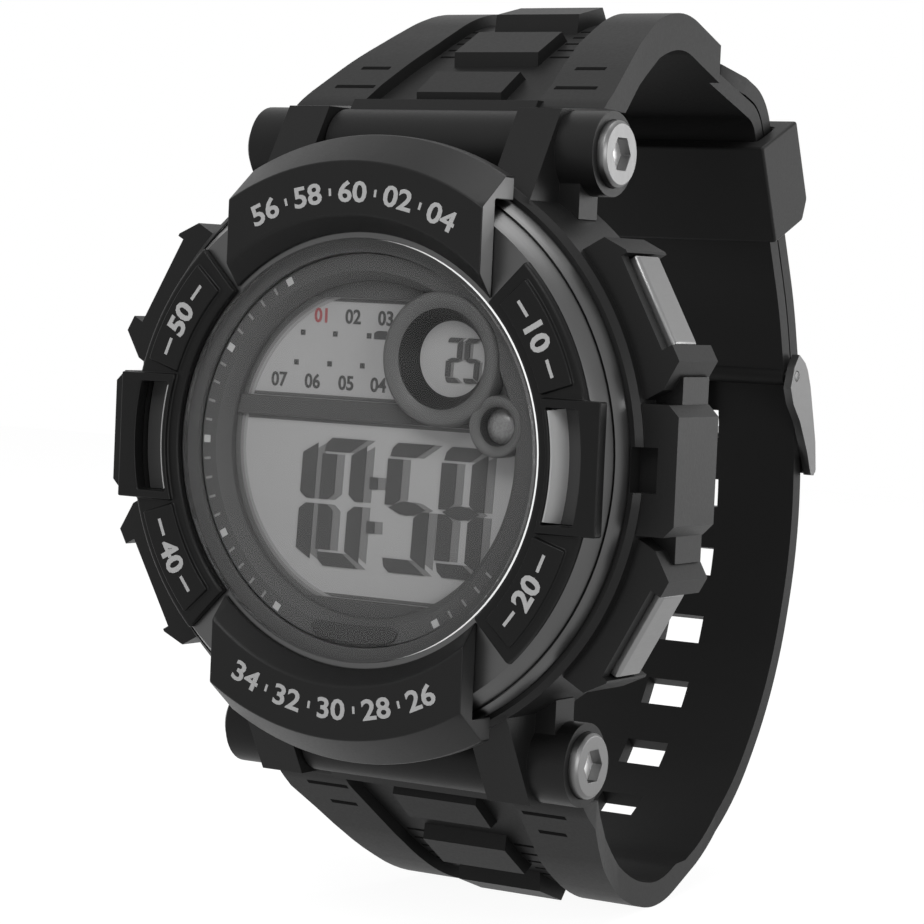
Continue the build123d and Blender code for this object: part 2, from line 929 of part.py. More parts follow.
with BuildPart() as module_frame_rear:
    add(disc(module_radius, frame_back, board_back))
    add(disc(battery_bore, frame_back, board_back, 0, -battery_offset), mode=Mode.SUBTRACT)
    add(plain_box(clip_half_length + seat_gap, battery_clip_half_width + seat_gap, frame_back,
                  battery_back - frame_ledge, z=-battery_offset), mode=Mode.SUBTRACT)
    add(disc(buzzer_spring_radius + buzzer_spring_wire + running_fit, frame_back, board_back, 0,
             buzzer_spring_offset), mode=Mode.SUBTRACT)
    add(notch_cut(notch_back, board_back, notch_floor_radius), mode=Mode.SUBTRACT)
save(module_frame_rear, "module_frame_rear")

with BuildPart() as battery:
    add(disc(battery_radius, battery_back, board_back, 0, -battery_offset))
    chamfer(battery.edges().group_by(Axis.Y)[-1], length=edge_break)
save(battery, "battery")

with BuildPart() as battery_clip:
    add(plain_box(clip_half_length, battery_clip_half_width, clip_seat,
                  clip_seat + battery_clip_thickness, z=-battery_offset))
save(battery_clip, "battery_clip")

buzzer_front = back_thickness + buzzer_thickness
with BuildPart() as buzzer_disc:
    add(disc(buzzer_radius, back_thickness, buzzer_front))
save(buzzer_disc, "buzzer_disc")


def coil(plane, radius, wire, length, turns):
    """Coil spring of round wire that fills a length from its plane."""
    with BuildPart(mode=Mode.PRIVATE) as spring:
        with BuildLine(Plane.XY.offset(wire / 2)) as path:
            Helix(pitch=(length - wire) / turns, height=length - wire, radius=radius)
        with BuildSketch(Plane(origin=path.line @ 0, z_dir=path.line % 0)):
            Circle(wire / 2)
        sweep(path=path.line, is_frenet=True)
    return spring.part.moved(plane.location)


with BuildPart() as buzzer_spring:
    spring_seat = Plane(origin=(0, -buzzer_front, buzzer_spring_offset), z_dir=(0, -1, 0))
    add(coil(spring_seat, buzzer_spring_radius, buzzer_spring_wire, board_back - buzzer_front,
             buzzer_spring_turns))
save(buzzer_spring, "buzzer_spring")

tab_reach = notch_floor_radius - tab_setback
with BuildPart() as contact_tabs:
    for angle in button_angles.values():
        add(button_prism(angle, [
            (-tab_half_width, tab_reach - tab_thickness),
            (tab_half_width, tab_reach - tab_thickness),
            (tab_half_width, tab_reach),
            (-tab_half_width, tab_reach),
        ], board_front, board_front + tab_height))
save(contact_tabs, "contact_tabs")


# Case back, its gasket and screws

with BuildPart() as case_back:
    with BuildSketch(face_plane(0)):
        add(back_outline())
    extrude(amount=back_thickness)
    add(tube(back_dome_radius, back_dome_radius + back_dome_groove, 0, back_dome_depth),
        mode=Mode.SUBTRACT)
    with BuildSketch(face_plane(0)):
        with screw_places:
            Circle(screw_radius + running_fit)
    extrude(amount=back_thickness, mode=Mode.SUBTRACT)
    with BuildSketch(face_plane(0)):
        with screw_places:
            Circle(screw_head_radius + running_fit)
    extrude(amount=screw_head_depth, mode=Mode.SUBTRACT)
save(case_back, "case_back")

with BuildPart() as case_back_gasket:
    add(tube(gasket_inner_radius + seat_gap, gasket_inner_radius + gasket_width - seat_gap,
             back_thickness, back_thickness + gasket_thickness))
save(case_back_gasket, "case_back_gasket")

with BuildPart() as case_back_screws:
    with BuildSketch(face_plane(0)):
        with screw_places:
            Circle(screw_head_radius)
    extrude(amount=screw_head_depth)
    with BuildSketch(face_plane(screw_head_depth)):
        with screw_places:
            Circle(screw_radius - seat_gap)
    extrude(amount=screw_length)
    with BuildSketch(face_plane(0)):
        with screw_places:
            Rectangle(2 * screw_radius, screw_slot)
            Rectangle(screw_slot, 2 * screw_radius)
    extrude(amount=screw_slot, mode=Mode.SUBTRACT)
save(case_back_screws, "case_back_screws")


# Lug pins and their screws

pin_end = boss_face - lug_head_seat

for half, name in ((1, "lug_pin_top"), (-1, "lug_pin_bottom")):
    with BuildPart() as lug_pin:
        pin_z = half * pin_height
        add(cross_rod(pin_radius - seat_gap, -pin_depth, pin_z, -pin_end, pin_end))
        stud_bore = lug_stud_radius + seat_gap
        for start in (-pin_end, pin_end - lug_stud_length):
            add(cross_rod(stud_bore, -pin_depth, pin_z, start, start + lug_stud_length),
                mode=Mode.SUBTRACT)
    save(lug_pin, name)

with BuildPart() as lug_screws:
    for half in (1, -1):
        for side in (1, -1):
            pin_z = half * pin_height
            head_face = boss_face + lug_head_rise
            with BuildSketch(Plane.YZ.offset(side * pin_end)):
                with Locations((-pin_depth, pin_z)):
                    Circle(lug_head_radius)
            extrude(amount=side * (head_face - pin_end))
            with BuildSketch(Plane.YZ.offset(side * (pin_end - lug_stud_length))):
                with Locations((-pin_depth, pin_z)):
                    Circle(lug_stud_radius)
            extrude(amount=side * lug_stud_length)
            with BuildSketch(Plane.YZ.offset(side * head_face)):
                with Locations((-pin_depth, pin_z)):
                    RegularPolygon(lug_socket_radius, 6)
            extrude(amount=-side * lug_socket_depth, mode=Mode.SUBTRACT)
    face_rims = lug_screws.edges().filter_by(GeomType.CIRCLE)
    chamfer(face_rims.group_by(Axis.X)[0] + face_rims.group_by(Axis.X)[-1], length=edge_break)
save(lug_screws, "lug_screws")


# Push buttons with their springs, clips and seals

cap_back_radius = button_face_radius - button_thickness
clip_outer = (cavity_radius ** 2 - clip_radius ** 2) ** 0.5 - running_fit

for hour, angle in button_angles.items():
    with BuildPart() as button:
        with BuildSketch(button_plane(angle, cap_back_radius)):
            Rectangle(button_length, button_height)
        extrude(amount=button_thickness)
        fillet(button.faces().sort_by(Axis((0, 0, 0), button_plane(angle, 0).z_dir))[-1].edges(),
               radius=button_crown)
        with BuildSketch(button_plane(angle, stem_tip_radius)):
            Circle(stem_radius)
        extrude(amount=cap_back_radius - stem_tip_radius)
        with BuildSketch(button_plane(angle, clip_outer - clip_thickness)):
            Circle(stem_radius)
            Circle(stem_radius - clip_groove, mode=Mode.SUBTRACT)
        extrude(amount=clip_thickness, mode=Mode.SUBTRACT)
    save(button, f"button_{hour}")

    with BuildPart() as clip:
        with BuildSketch(button_plane(angle, clip_outer - clip_thickness)):
            Circle(clip_radius)
            Circle(stem_radius - clip_groove, mode=Mode.SUBTRACT)
            with Locations((0, clip_radius)):
                Rectangle(2 * (stem_radius - clip_groove), 2 * clip_radius, mode=Mode.SUBTRACT)
        extrude(amount=clip_thickness)
    save(clip, f"button_clip_{hour}")

    with BuildPart() as spring:
        add(coil(button_plane(angle, spring_pocket_floor), spring_radius, spring_wire,
                 cap_back_radius - spring_pocket_floor, spring_turns))
    save(spring, f"button_spring_{hour}")

with BuildPart() as button_seals:
    for angle in button_angles.values():
        with BuildSketch(button_plane(angle, seal_inner_wall)):
            Circle(seal_radius)
            Circle(stem_radius + running_fit, mode=Mode.SUBTRACT)
        extrude(amount=seal_thickness)
save(button_seals, "button_seals")


# Strap: one closed outline gives both halves, the keeper and the buckle their places

loop_half_height = pin_height + loop_overhang
loop_points = [(y * loop_depth, z * loop_half_height) for y, z in loop_shares]
inside_points = [(y * loop_depth, z * loop_half_height) for y, z in loop_inside_shares]
far = 2 * loop_depth
step_y = step_share * loop_depth
tail_y = tail_share * loop_depth


def bend_radius(before, corner, after, share):
    """Even bend at a corner, from a share of its shorter run."""
    run_in = hypot(corner[0] - before[0], corner[1] - before[1])
    run_out = hypot(after[0] - corner[0], after[1] - corner[1])
    inwards = Vector(corner[0] - before[0], corner[1] - before[1])
    outwards = Vector(after[0] - corner[0], after[1] - corner[1])
    half_turn = radians(inwards.get_angle(outwards)) / 2
    return share * min(run_in, run_out) / tan(half_turn)


ring_points = loop_points + inside_points
points_before = ring_points[-1:] + ring_points[:-1]
points_after = ring_points[1:] + ring_points[:1]
corners = zip(points_before, ring_points, points_after, loop_bend_shares)
bend_radii = [bend_radius(*corner) for corner in corners]

with BuildLine(Plane.YZ, mode=Mode.PRIVATE) as outer_line:
    FilletPolyline(*loop_points, radius=bend_radii[1:len(loop_points) - 1])
loop_line = outer_line.wire()


def loop_core(inset, half_width):
    """Solid inside the strap's outer line, drawn in by an inset."""
    with BuildPart(mode=Mode.PRIVATE) as core:
        with BuildSketch(Plane.YZ):
            with BuildLine():
                FilletPolyline(*ring_points, radius=bend_radii, close=True)
            make_face()
            if inset > 0:
                offset(amount=-inset, mode=Mode.REPLACE)
        extrude(amount=half_width, both=True)
    return core.part


def strap_band(outer_inset, inner_inset, half_width):
    """Closed hoop between two insets from the outer line."""
    with BuildPart(mode=Mode.PRIVATE) as hoop:
        add(loop_core(outer_inset, half_width))
        add(loop_core(inner_inset, half_width), mode=Mode.SUBTRACT)
    return hoop.part


def line_plane(station):
    """Plane on the outer line: local x runs on along the strap, local y points outwards."""
    tangent = loop_line.tangent_at(station, position_mode=PositionMode.LENGTH)
    origin = loop_line.position_at(station, position_mode=PositionMode.LENGTH)
    return Plane(origin=origin, x_dir=tangent, z_dir=(-1, 0, 0))


def strap_prism(plane, points, half_width):
    """Prism across the strap from (along, outwards) points on a plane of the outer line."""
    with BuildPart(mode=Mode.PRIVATE) as prism:
        with BuildSketch(plane):
            with BuildLine():
                Polyline(*points, close=True)
            make_face()
        extrude(amount=half_width, both=True)
    return prism.part


def plan_prism(points, bottom, top):
    """Prism along Z, symmetric in X, from (half width, y) points."""
    outline = points + [(-x, y) for x, y in reversed(points)]
    with BuildPart(mode=Mode.PRIVATE) as prism:
        with BuildSketch(Plane.XY.offset(bottom)):
            with BuildLine():
                Polyline(*outline, close=True)
            make_face()
        extrude(amount=top - bottom)
    return prism.part


def raised_block(plane, length, height):
    """Block with sloped ends that stands in the sunk middle of the strap."""
    return strap_prism(plane, [
        (-length / 2 - block_slope, -block_root),
        (length / 2 + block_slope, -block_root),
        (length / 2, height),
        (-length / 2, height),
    ], block_half_width)


def channel_cut(bottom, top):
    """Everything outside the sunk middle's floor, between two levels."""
    outline = [(channel_half_width * width, loop_depth * y) for width, y in channel_shares]
    with BuildPart(mode=Mode.PRIVATE) as channel:
        add(plan_prism(outline, bottom, top))
        add(loop_core(channel_depth, shoulder_half_width), mode=Mode.SUBTRACT)
    return channel.part


def strap_end(half, neck_tip_front, neck_tip_back):
    """Knuckle round a lug pin, with its neck up to the shoulder."""
    pin_z = half * pin_height
    end_half_width = horn_inner - soft_gap
    with BuildPart(mode=Mode.PRIVATE) as end:
        add(cross_rod(knuckle_radius, -pin_depth, pin_z, -end_half_width, end_half_width))
        add(cross_bar([
            (-pin_depth - neck_front, pin_z),
            (neck_tip_front, half * (shoulder_base + neck_top)),
            (neck_tip_back, half * (shoulder_base + neck_top)),
            (-pin_depth + neck_back, pin_z),
        ], end_half_width))
    return end.part


double_thickness = 2 * strap_thickness + strap_layer_gap
loop_length = loop_line.length
straight = loop_line.edges().filter_by(GeomType.LINE).sort_by(SortBy.LENGTH)[-1]
straight_ends = sorted(
    loop_line.param_at_point(end) * loop_length for end in (straight @ 0, straight @ 1)
)
hinge_station = straight_ends[0] - hinge_distance
hinge_inset = strap_thickness + strap_layer_gap + eyelet_radius
hinge_plane = line_plane(hinge_station)
hinge_point = hinge_plane.from_local_coords(Vector(0, -hinge_inset, 0))
prong_slot_start = 2 * eyelet_radius
prong_slot_end = 3 * eyelet_radius

upper_width = [(shoulder_half_width * width, loop_depth * y) for y, width in shoulder_shares]
upper_width += [(strap_half_width, step_y), (strap_half_width, far)]
lower_width = [(shoulder_half_width * width, loop_depth * y) for y, width in taper_shares]
lower_width += [(strap_half_width, loop_depth * narrow_share), (strap_half_width, far)]
tail_width = [
    (strap_half_width * width, tail_y + tail_tip_length * along) for along, width in tail_tip_shares
]
tail_width = [(strap_half_width, far)] + tail_width

upper_shoulder = loop_line.position_at(loop_length, position_mode=PositionMode.LENGTH)
lower_shoulder = loop_line.position_at(0, position_mode=PositionMode.LENGTH)

with BuildPart() as inner_layer:
    add(strap_band(strap_thickness + strap_layer_gap, double_thickness, strap_half_width))
    add(cross_bar([
        (step_y, hinge_point.Z),
        (far, hinge_point.Z),
        (far, far),
        (step_y, far),
    ], strap_half_width), mode=Mode.INTERSECT)

with BuildPart() as strap_upper:
    add(strap_band(0, double_thickness, shoulder_half_width))
    add(cross_bar([
        (-far, shoulder_base),
        (step_y, shoulder_base),
        (step_y, far),
        (-far, far),
    ], shoulder_half_width), mode=Mode.INTERSECT)
    add(inner_layer.part)
    add(plan_prism(upper_width, -far, far), mode=Mode.INTERSECT)
    add(channel_cut(0, far), mode=Mode.SUBTRACT)
    for place, length, height in zip(block_places, block_lengths, block_heights):
        add(raised_block(line_plane(loop_length - place), length, height))
    add(strap_end(1, upper_shoulder.Y + edge_break, upper_shoulder.Y + double_thickness))
    add(cross_rod(eyelet_radius, hinge_point.Y, hinge_point.Z, -strap_half_width,
                  strap_half_width))
    add(cross_rod(hinge_pin_radius + running_fit, hinge_point.Y, hinge_point.Z, -frame_half_width,
                  frame_half_width), mode=Mode.SUBTRACT)
    add(strap_prism(hinge_plane, [
        (-prong_slot_end, -hinge_inset - 2 * eyelet_radius),
        (prong_slot_start, -hinge_inset - 2 * eyelet_radius),
        (prong_slot_start, overrun),
        (-prong_slot_end, overrun),
    ], prong_half_width + prong_slot_gap), mode=Mode.SUBTRACT)
    add(cross_rod(pin_radius + running_fit, -pin_depth, pin_height, -horn_inner, horn_inner),
        mode=Mode.SUBTRACT)
save(strap_upper, "strap_upper")

thick_end = (thick_end_share[0] * loop_depth, thick_end_share[1] * loop_half_height)
thin_start = (thin_start_share[0] * loop_depth, thin_start_share[1] * loop_half_height)
hole_stations = [
    hinge_station - prong_hole_distance + hole_pitch * place
    for place in range(-holes_below, holes_above + 1)
]

with BuildPart() as thick_layer:
    add(strap_band(0, shoulder_thickness, shoulder_half_width))
    add(cross_bar([
        (-far, -shoulder_base),
        (thick_end[0], -shoulder_base),
        thick_end,
        thin_start,
        (thin_start[0], -far),
        (-far, -far),
    ], shoulder_half_width), mode=Mode.INTERSECT)

with BuildPart() as width_limits:
    add(plan_prism(lower_width, -far, 0))
    add(plan_prism(tail_width, 0, far))

with BuildPart() as strap_lower:
    add(strap_band(0, strap_thickness, shoulder_half_width))
    add(cross_bar([
        (-far, -shoulder_base),
        (-far, -far),
        (far, -far),
        (far, far),
        (tail_y, far),
        (tail_y, -shoulder_base),
    ], shoulder_half_width), mode=Mode.INTERSECT)
    add(thick_layer.part)
    add(width_limits.part, mode=Mode.INTERSECT)
    add(channel_cut(-far, 0), mode=Mode.SUBTRACT)
    for place, length, height in zip(block_places, block_lengths, block_heights):
        add(raised_block(line_plane(place), length, height))
    add(strap_end(-1, lower_shoulder.Y + edge_break, lower_shoulder.Y + shoulder_thickness))
    for station in hole_stations:
        add(strap_prism(line_plane(station), [
            (-hole_height / 2, -2 * strap_thickness),
            (hole_height / 2, -2 * strap_thickness),
            (hole_height / 2, strap_thickness),
            (-hole_height / 2, strap_thickness),
        ], hole_width / 2), mode=Mode.SUBTRACT)
    add(cross_rod(pin_radius + running_fit, -pin_depth, -pin_height, -horn_inner, horn_inner),
        mode=Mode.SUBTRACT)
save(strap_lower, "strap_lower")


# Keeper, a loose loop on the straight stretch of the strap

keeper_plane = line_plane(straight_ends[1] - keeper_start)
keeper_outer = keeper_gap + keeper_outer_wall
keeper_inner = double_thickness + keeper_gap + keeper_inner_wall

with BuildPart() as keeper:
    add(strap_prism(keeper_plane, [
        (0, -keeper_inner),
        (0, keeper_outer),
        (-keeper_length + keeper_chamfer_length, keeper_outer),
        (-keeper_length, keeper_outer - keeper_chamfer_rise),
        (-keeper_length, -keeper_inner),
    ], keeper_half_width))
    add(strap_prism(keeper_plane, [
        (overrun, -double_thickness - keeper_gap),
        (overrun, keeper_gap),
        (-keeper_length - overrun, keeper_gap),
        (-keeper_length - overrun, -double_thickness - keeper_gap),
    ], strap_half_width + keeper_gap), mode=Mode.SUBTRACT)
save(keeper, "keeper")


# Buckle: frame, hinge pin and prong

prong_outer = bar_outer - bar_notch + running_fit + prong_thickness / 2


bar_end = frame_length - bar_lip
bar_start = bar_end - bar_width
arm_outline = [
    (along * frame_length, outwards * frame_length - hinge_inset)
    for along, outwards in arm_inner_shares
]
arm_outline += [
    (along * frame_length, outwards * frame_length) for along, outwards in arm_outer_shares
]


def on_hinge(along, outwards):
    """Point (y, z) from a place in the hinge's plane."""
    point = hinge_plane.from_local_coords(Vector(along, outwards, 0))
    return (point.Y, point.Z)


with BuildPart() as buckle_frame:
    add(cross_bar([on_hinge(*point) for point in arm_outline], frame_half_width))
    with BuildSketch(Plane.YZ):
        Rectangle(2 * far, 2 * far)
    extrude(amount=frame_half_width - frame_wall, both=True, mode=Mode.SUBTRACT)
    add(strap_prism(hinge_plane, [
        (-bar_end, -bar_inner - edge_break),
        (-bar_start, -bar_inner),
        (-bar_start, bar_outer),
        (-bar_end, bar_outer - edge_break),
    ], frame_half_width))
    add(strap_prism(hinge_plane, [
        (-bar_start + overrun, bar_outer - bar_notch),
        (-bar_start + overrun, bar_outer + overrun),
        (-bar_end - overrun, bar_outer + overrun),
        (-bar_end - overrun, bar_outer - bar_notch),
    ], prong_half_width + prong_slot_gap), mode=Mode.SUBTRACT)
    add(cross_rod(hinge_pin_radius, hinge_point.Y, hinge_point.Z, -frame_half_width,
                  frame_half_width), mode=Mode.SUBTRACT)
save(buckle_frame, "buckle_frame")

with BuildPart() as buckle_pin:
    add(cross_rod(hinge_pin_radius - seat_gap, hinge_point.Y, hinge_point.Z, -frame_half_width,
                  frame_half_width))
save(buckle_pin, "buckle_pin")

with BuildPart() as buckle_prong:
    with BuildSketch(Plane.YZ):
        with BuildLine():
            Polyline(
                on_hinge(0, -hinge_inset),
                on_hinge(-prong_inner_run, -hinge_inset + prong_inner_rise),
                on_hinge(-prong_inner_run - prong_rise_run, prong_outer),
                on_hinge(-bar_end + prong_tip_setback, prong_outer),
            )
        trace(line_width=prong_thickness)
    extrude(amount=prong_half_width, both=True)
    add(cross_rod(eyelet_radius, hinge_point.Y, hinge_point.Z, -prong_half_width,
                  prong_half_width))
    add(cross_rod(hinge_pin_radius + running_fit, hinge_point.Y, hinge_point.Z,
                  -prong_half_width, prong_half_width), mode=Mode.SUBTRACT)
save(buckle_prong, "buckle_prong")
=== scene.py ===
import json
import logging
import math
from dataclasses import dataclass
from enum import Enum
from functools import partial

import bmesh
import bpy
from bpy.types import ID, Material, Mesh, Node, NodeSocket, NodeTree, Object, World
from mathutils import Matrix, Vector
from mathutils.bvhtree import BVHTree

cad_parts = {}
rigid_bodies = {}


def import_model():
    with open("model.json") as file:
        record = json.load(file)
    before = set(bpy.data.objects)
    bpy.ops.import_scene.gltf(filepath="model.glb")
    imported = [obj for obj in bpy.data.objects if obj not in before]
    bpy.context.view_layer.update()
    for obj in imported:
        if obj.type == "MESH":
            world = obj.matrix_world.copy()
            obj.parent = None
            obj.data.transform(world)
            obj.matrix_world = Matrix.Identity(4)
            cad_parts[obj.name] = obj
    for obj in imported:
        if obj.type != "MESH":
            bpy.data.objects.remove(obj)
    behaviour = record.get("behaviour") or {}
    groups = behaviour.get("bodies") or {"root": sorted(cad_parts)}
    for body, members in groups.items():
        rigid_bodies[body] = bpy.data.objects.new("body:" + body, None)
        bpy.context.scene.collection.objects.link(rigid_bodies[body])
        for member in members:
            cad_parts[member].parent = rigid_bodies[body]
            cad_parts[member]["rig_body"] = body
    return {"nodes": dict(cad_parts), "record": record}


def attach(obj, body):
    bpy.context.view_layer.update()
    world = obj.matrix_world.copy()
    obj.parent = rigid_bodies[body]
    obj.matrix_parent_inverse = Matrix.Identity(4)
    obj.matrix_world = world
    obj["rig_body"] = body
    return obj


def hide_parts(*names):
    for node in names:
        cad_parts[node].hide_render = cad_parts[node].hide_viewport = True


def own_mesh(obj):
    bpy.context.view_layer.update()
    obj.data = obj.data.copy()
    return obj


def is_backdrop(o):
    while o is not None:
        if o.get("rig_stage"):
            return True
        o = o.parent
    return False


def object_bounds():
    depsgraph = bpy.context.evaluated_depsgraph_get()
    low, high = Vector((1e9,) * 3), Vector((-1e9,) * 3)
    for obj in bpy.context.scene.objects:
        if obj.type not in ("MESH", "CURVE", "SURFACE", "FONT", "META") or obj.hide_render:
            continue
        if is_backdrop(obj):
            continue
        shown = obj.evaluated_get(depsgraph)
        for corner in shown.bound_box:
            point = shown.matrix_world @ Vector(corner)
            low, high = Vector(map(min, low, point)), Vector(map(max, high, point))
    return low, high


MM = 0.001
MERGE_MM = 0.002
INK_MM = 0.03
MARK_MM = 0.04
NUMERAL_MM = 0.08
NUMERAL_SHARE = 0.7
FLAT_ANGLE = 0.6
ROUNDED_ANGLE = 28.0
CRISP_ANGLE = 48.0
RIM_ANGLE = 60.0
DIAL_CENTRE = (0.0, 0.0)
HOUR_ANGLE = 30
MINUTE_ANGLE = 6
LOG = logging.getLogger("digital_watch")

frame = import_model()


# Small helpers


def linear(code: str) -> tuple[float, float, float, float]:
    """Turns a written colour into the linear one that shaders use.

    Args:
        code: Six hexadecimal digits of an sRGB colour.

    Returns:
        Linear red, green, blue and an alpha of 1.
    """
    shares = [int(code[place:place + 2], 16) / 255 for place in (0, 2, 4)]
    red, green, blue = [
        share / 12.92 if share <= 0.04045 else ((share + 0.055) / 1.055) ** 2.4 for share in shares
    ]
    return (red, green, blue, 1.0)


def add_node(tree: NodeTree, kind: str, inputs: dict, **settings: object) -> Node:
    """Adds one node with its settings and inputs.

    Args:
        tree: The node tree that gets the node.
        kind: The node's type.
        inputs: Values or output sockets, by the input's name or number.
        **settings: Properties of the node itself.

    Returns:
        The new node.
    """
    node = tree.nodes.new(kind)
    for key, value in settings.items():
        setattr(node, key, value)
    for socket, value in inputs.items():
        if isinstance(value, NodeSocket):
            tree.links.new(value, node.inputs[socket])
        else:
            node.inputs[socket].default_value = value
    return node


def cleared_tree(owner: Material | World) -> NodeTree:
    """Turns on an owner's nodes and empties its tree.

    Args:
        owner: A new material or world.

    Returns:
        The empty tree.
    """
    owner.use_nodes = True
    owner.node_tree.nodes.clear()
    return owner.node_tree


def seen_by(tree: NodeTree, *kinds: str) -> NodeSocket:
    """Tells rays of some kinds from all others.

    Args:
        tree: The node tree that gets the nodes.
        *kinds: Kinds of ray, such as Camera.

    Returns:
        A socket that is 1 for those rays and 0 for the others.
    """
    path = add_node(tree, "ShaderNodeLightPath", {})
    seen = path.outputs[f"Is {kinds[0]} Ray"]
    for kind in kinds[1:]:
        seen = add_node(tree, "ShaderNodeMath", {
            0: seen, 1: path.outputs[f"Is {kind} Ray"],
        }, operation="MAXIMUM").outputs[0]
    return seen


def new_object(name: str, data: ID) -> Object:
    """Links a mesh, drawing, camera or lamp into the scene as an object at the origin.

    Args:
        name: The object's name.
        data: Its data.

    Returns:
        The new object.
    """
    data.name = name
    piece = bpy.data.objects.new(name, data)
    bpy.context.scene.collection.objects.link(piece)
    return piece


def solid(name: str, points: list, faces: list) -> Object:
    """Makes a piece from points, without doubles and with its faces turned outwards.

    Args:
        name: The piece's name.
        points: Corner points in millimetres.
        faces: Corner numbers of each face.

    Returns:
        The object, without a material.
    """
    mesh = bpy.data.meshes.new(name)
    mesh.from_pydata([tuple(MM * value for value in point) for point in points], [], faces)
    work = bmesh.new()
    work.from_mesh(mesh)
    bmesh.ops.remove_doubles(work, verts=work.verts, dist=MERGE_MM * MM)
    bmesh.ops.recalc_face_normals(work, faces=work.faces)
    work.to_mesh(mesh)
    work.free()
    return new_object(name, mesh)


def evaluated_mesh(piece: Object) -> Mesh:
    """Plain mesh of an object, with its modifiers or its font worked out."""
    depsgraph = bpy.context.evaluated_depsgraph_get()
    return bpy.data.meshes.new_from_object(piece.evaluated_get(depsgraph))


def settled(piece: Object) -> Object:
    """Applies a piece's modifiers to its mesh and takes them off.

    Args:
        piece: An object with live modifiers.

    Returns:
        The same object with a plain mesh.
    """
    mesh = evaluated_mesh(piece)
    old = piece.data
    piece.modifiers.clear()
    piece.data = mesh
    mesh.name = piece.name
    bpy.data.meshes.remove(old)
    return piece


def dial_place(x: float, z: float, depth: float, turn: float = 0.0) -> Matrix:
    """Matrix that stands a flat shape up on the dial.

    Args:
        x: Place towards 3 o'clock, mm.
        z: Place towards 12 o'clock, mm.
        depth: Distance from the case back, mm.
        turn: Clockwise turn as seen by the reader, degrees.

    Returns:
        A matrix from a drawing in millimetres to the frame in metres.
    """
    stand = Matrix.Rotation(math.radians(90), 4, "X")
    spin = Matrix.Rotation(math.radians(turn), 4, "Y")
    return Matrix.Translation(Vector((x, -depth, z)) * MM) @ spin @ stand @ Matrix.Scale(MM, 4)


def clock(angle: float, radius: float) -> tuple[float, float]:
    """Point (x, z) at a clockwise angle from 12 o'clock, in millimetres."""
    return (radius * math.sin(math.radians(angle)), radius * math.cos(math.radians(angle)))


def middle(values: list[float]) -> float:
    """Middle between the lowest and the highest value."""
    return (min(values) + max(values)) / 2


def rectangle(x: float, z: float, half_width: float, half_height: float) -> list:
    """Outline of a level rectangle round a place (x, z), in millimetres."""
    return [(x - half_width, z - half_height), (x + half_width, z - half_height),
            (x + half_width, z + half_height), (x - half_width, z + half_height)]


# Finishes


class Grain(Enum):
    """How the fine surface of a finish is broken up."""

    MOULDED = "fine cloudy grain of moulded resin"
    TURNED = "fine rings round the dial's axis"
    BRUSHED = "fine lines along one direction"
    PLAIN = "even surface with faint clouds"


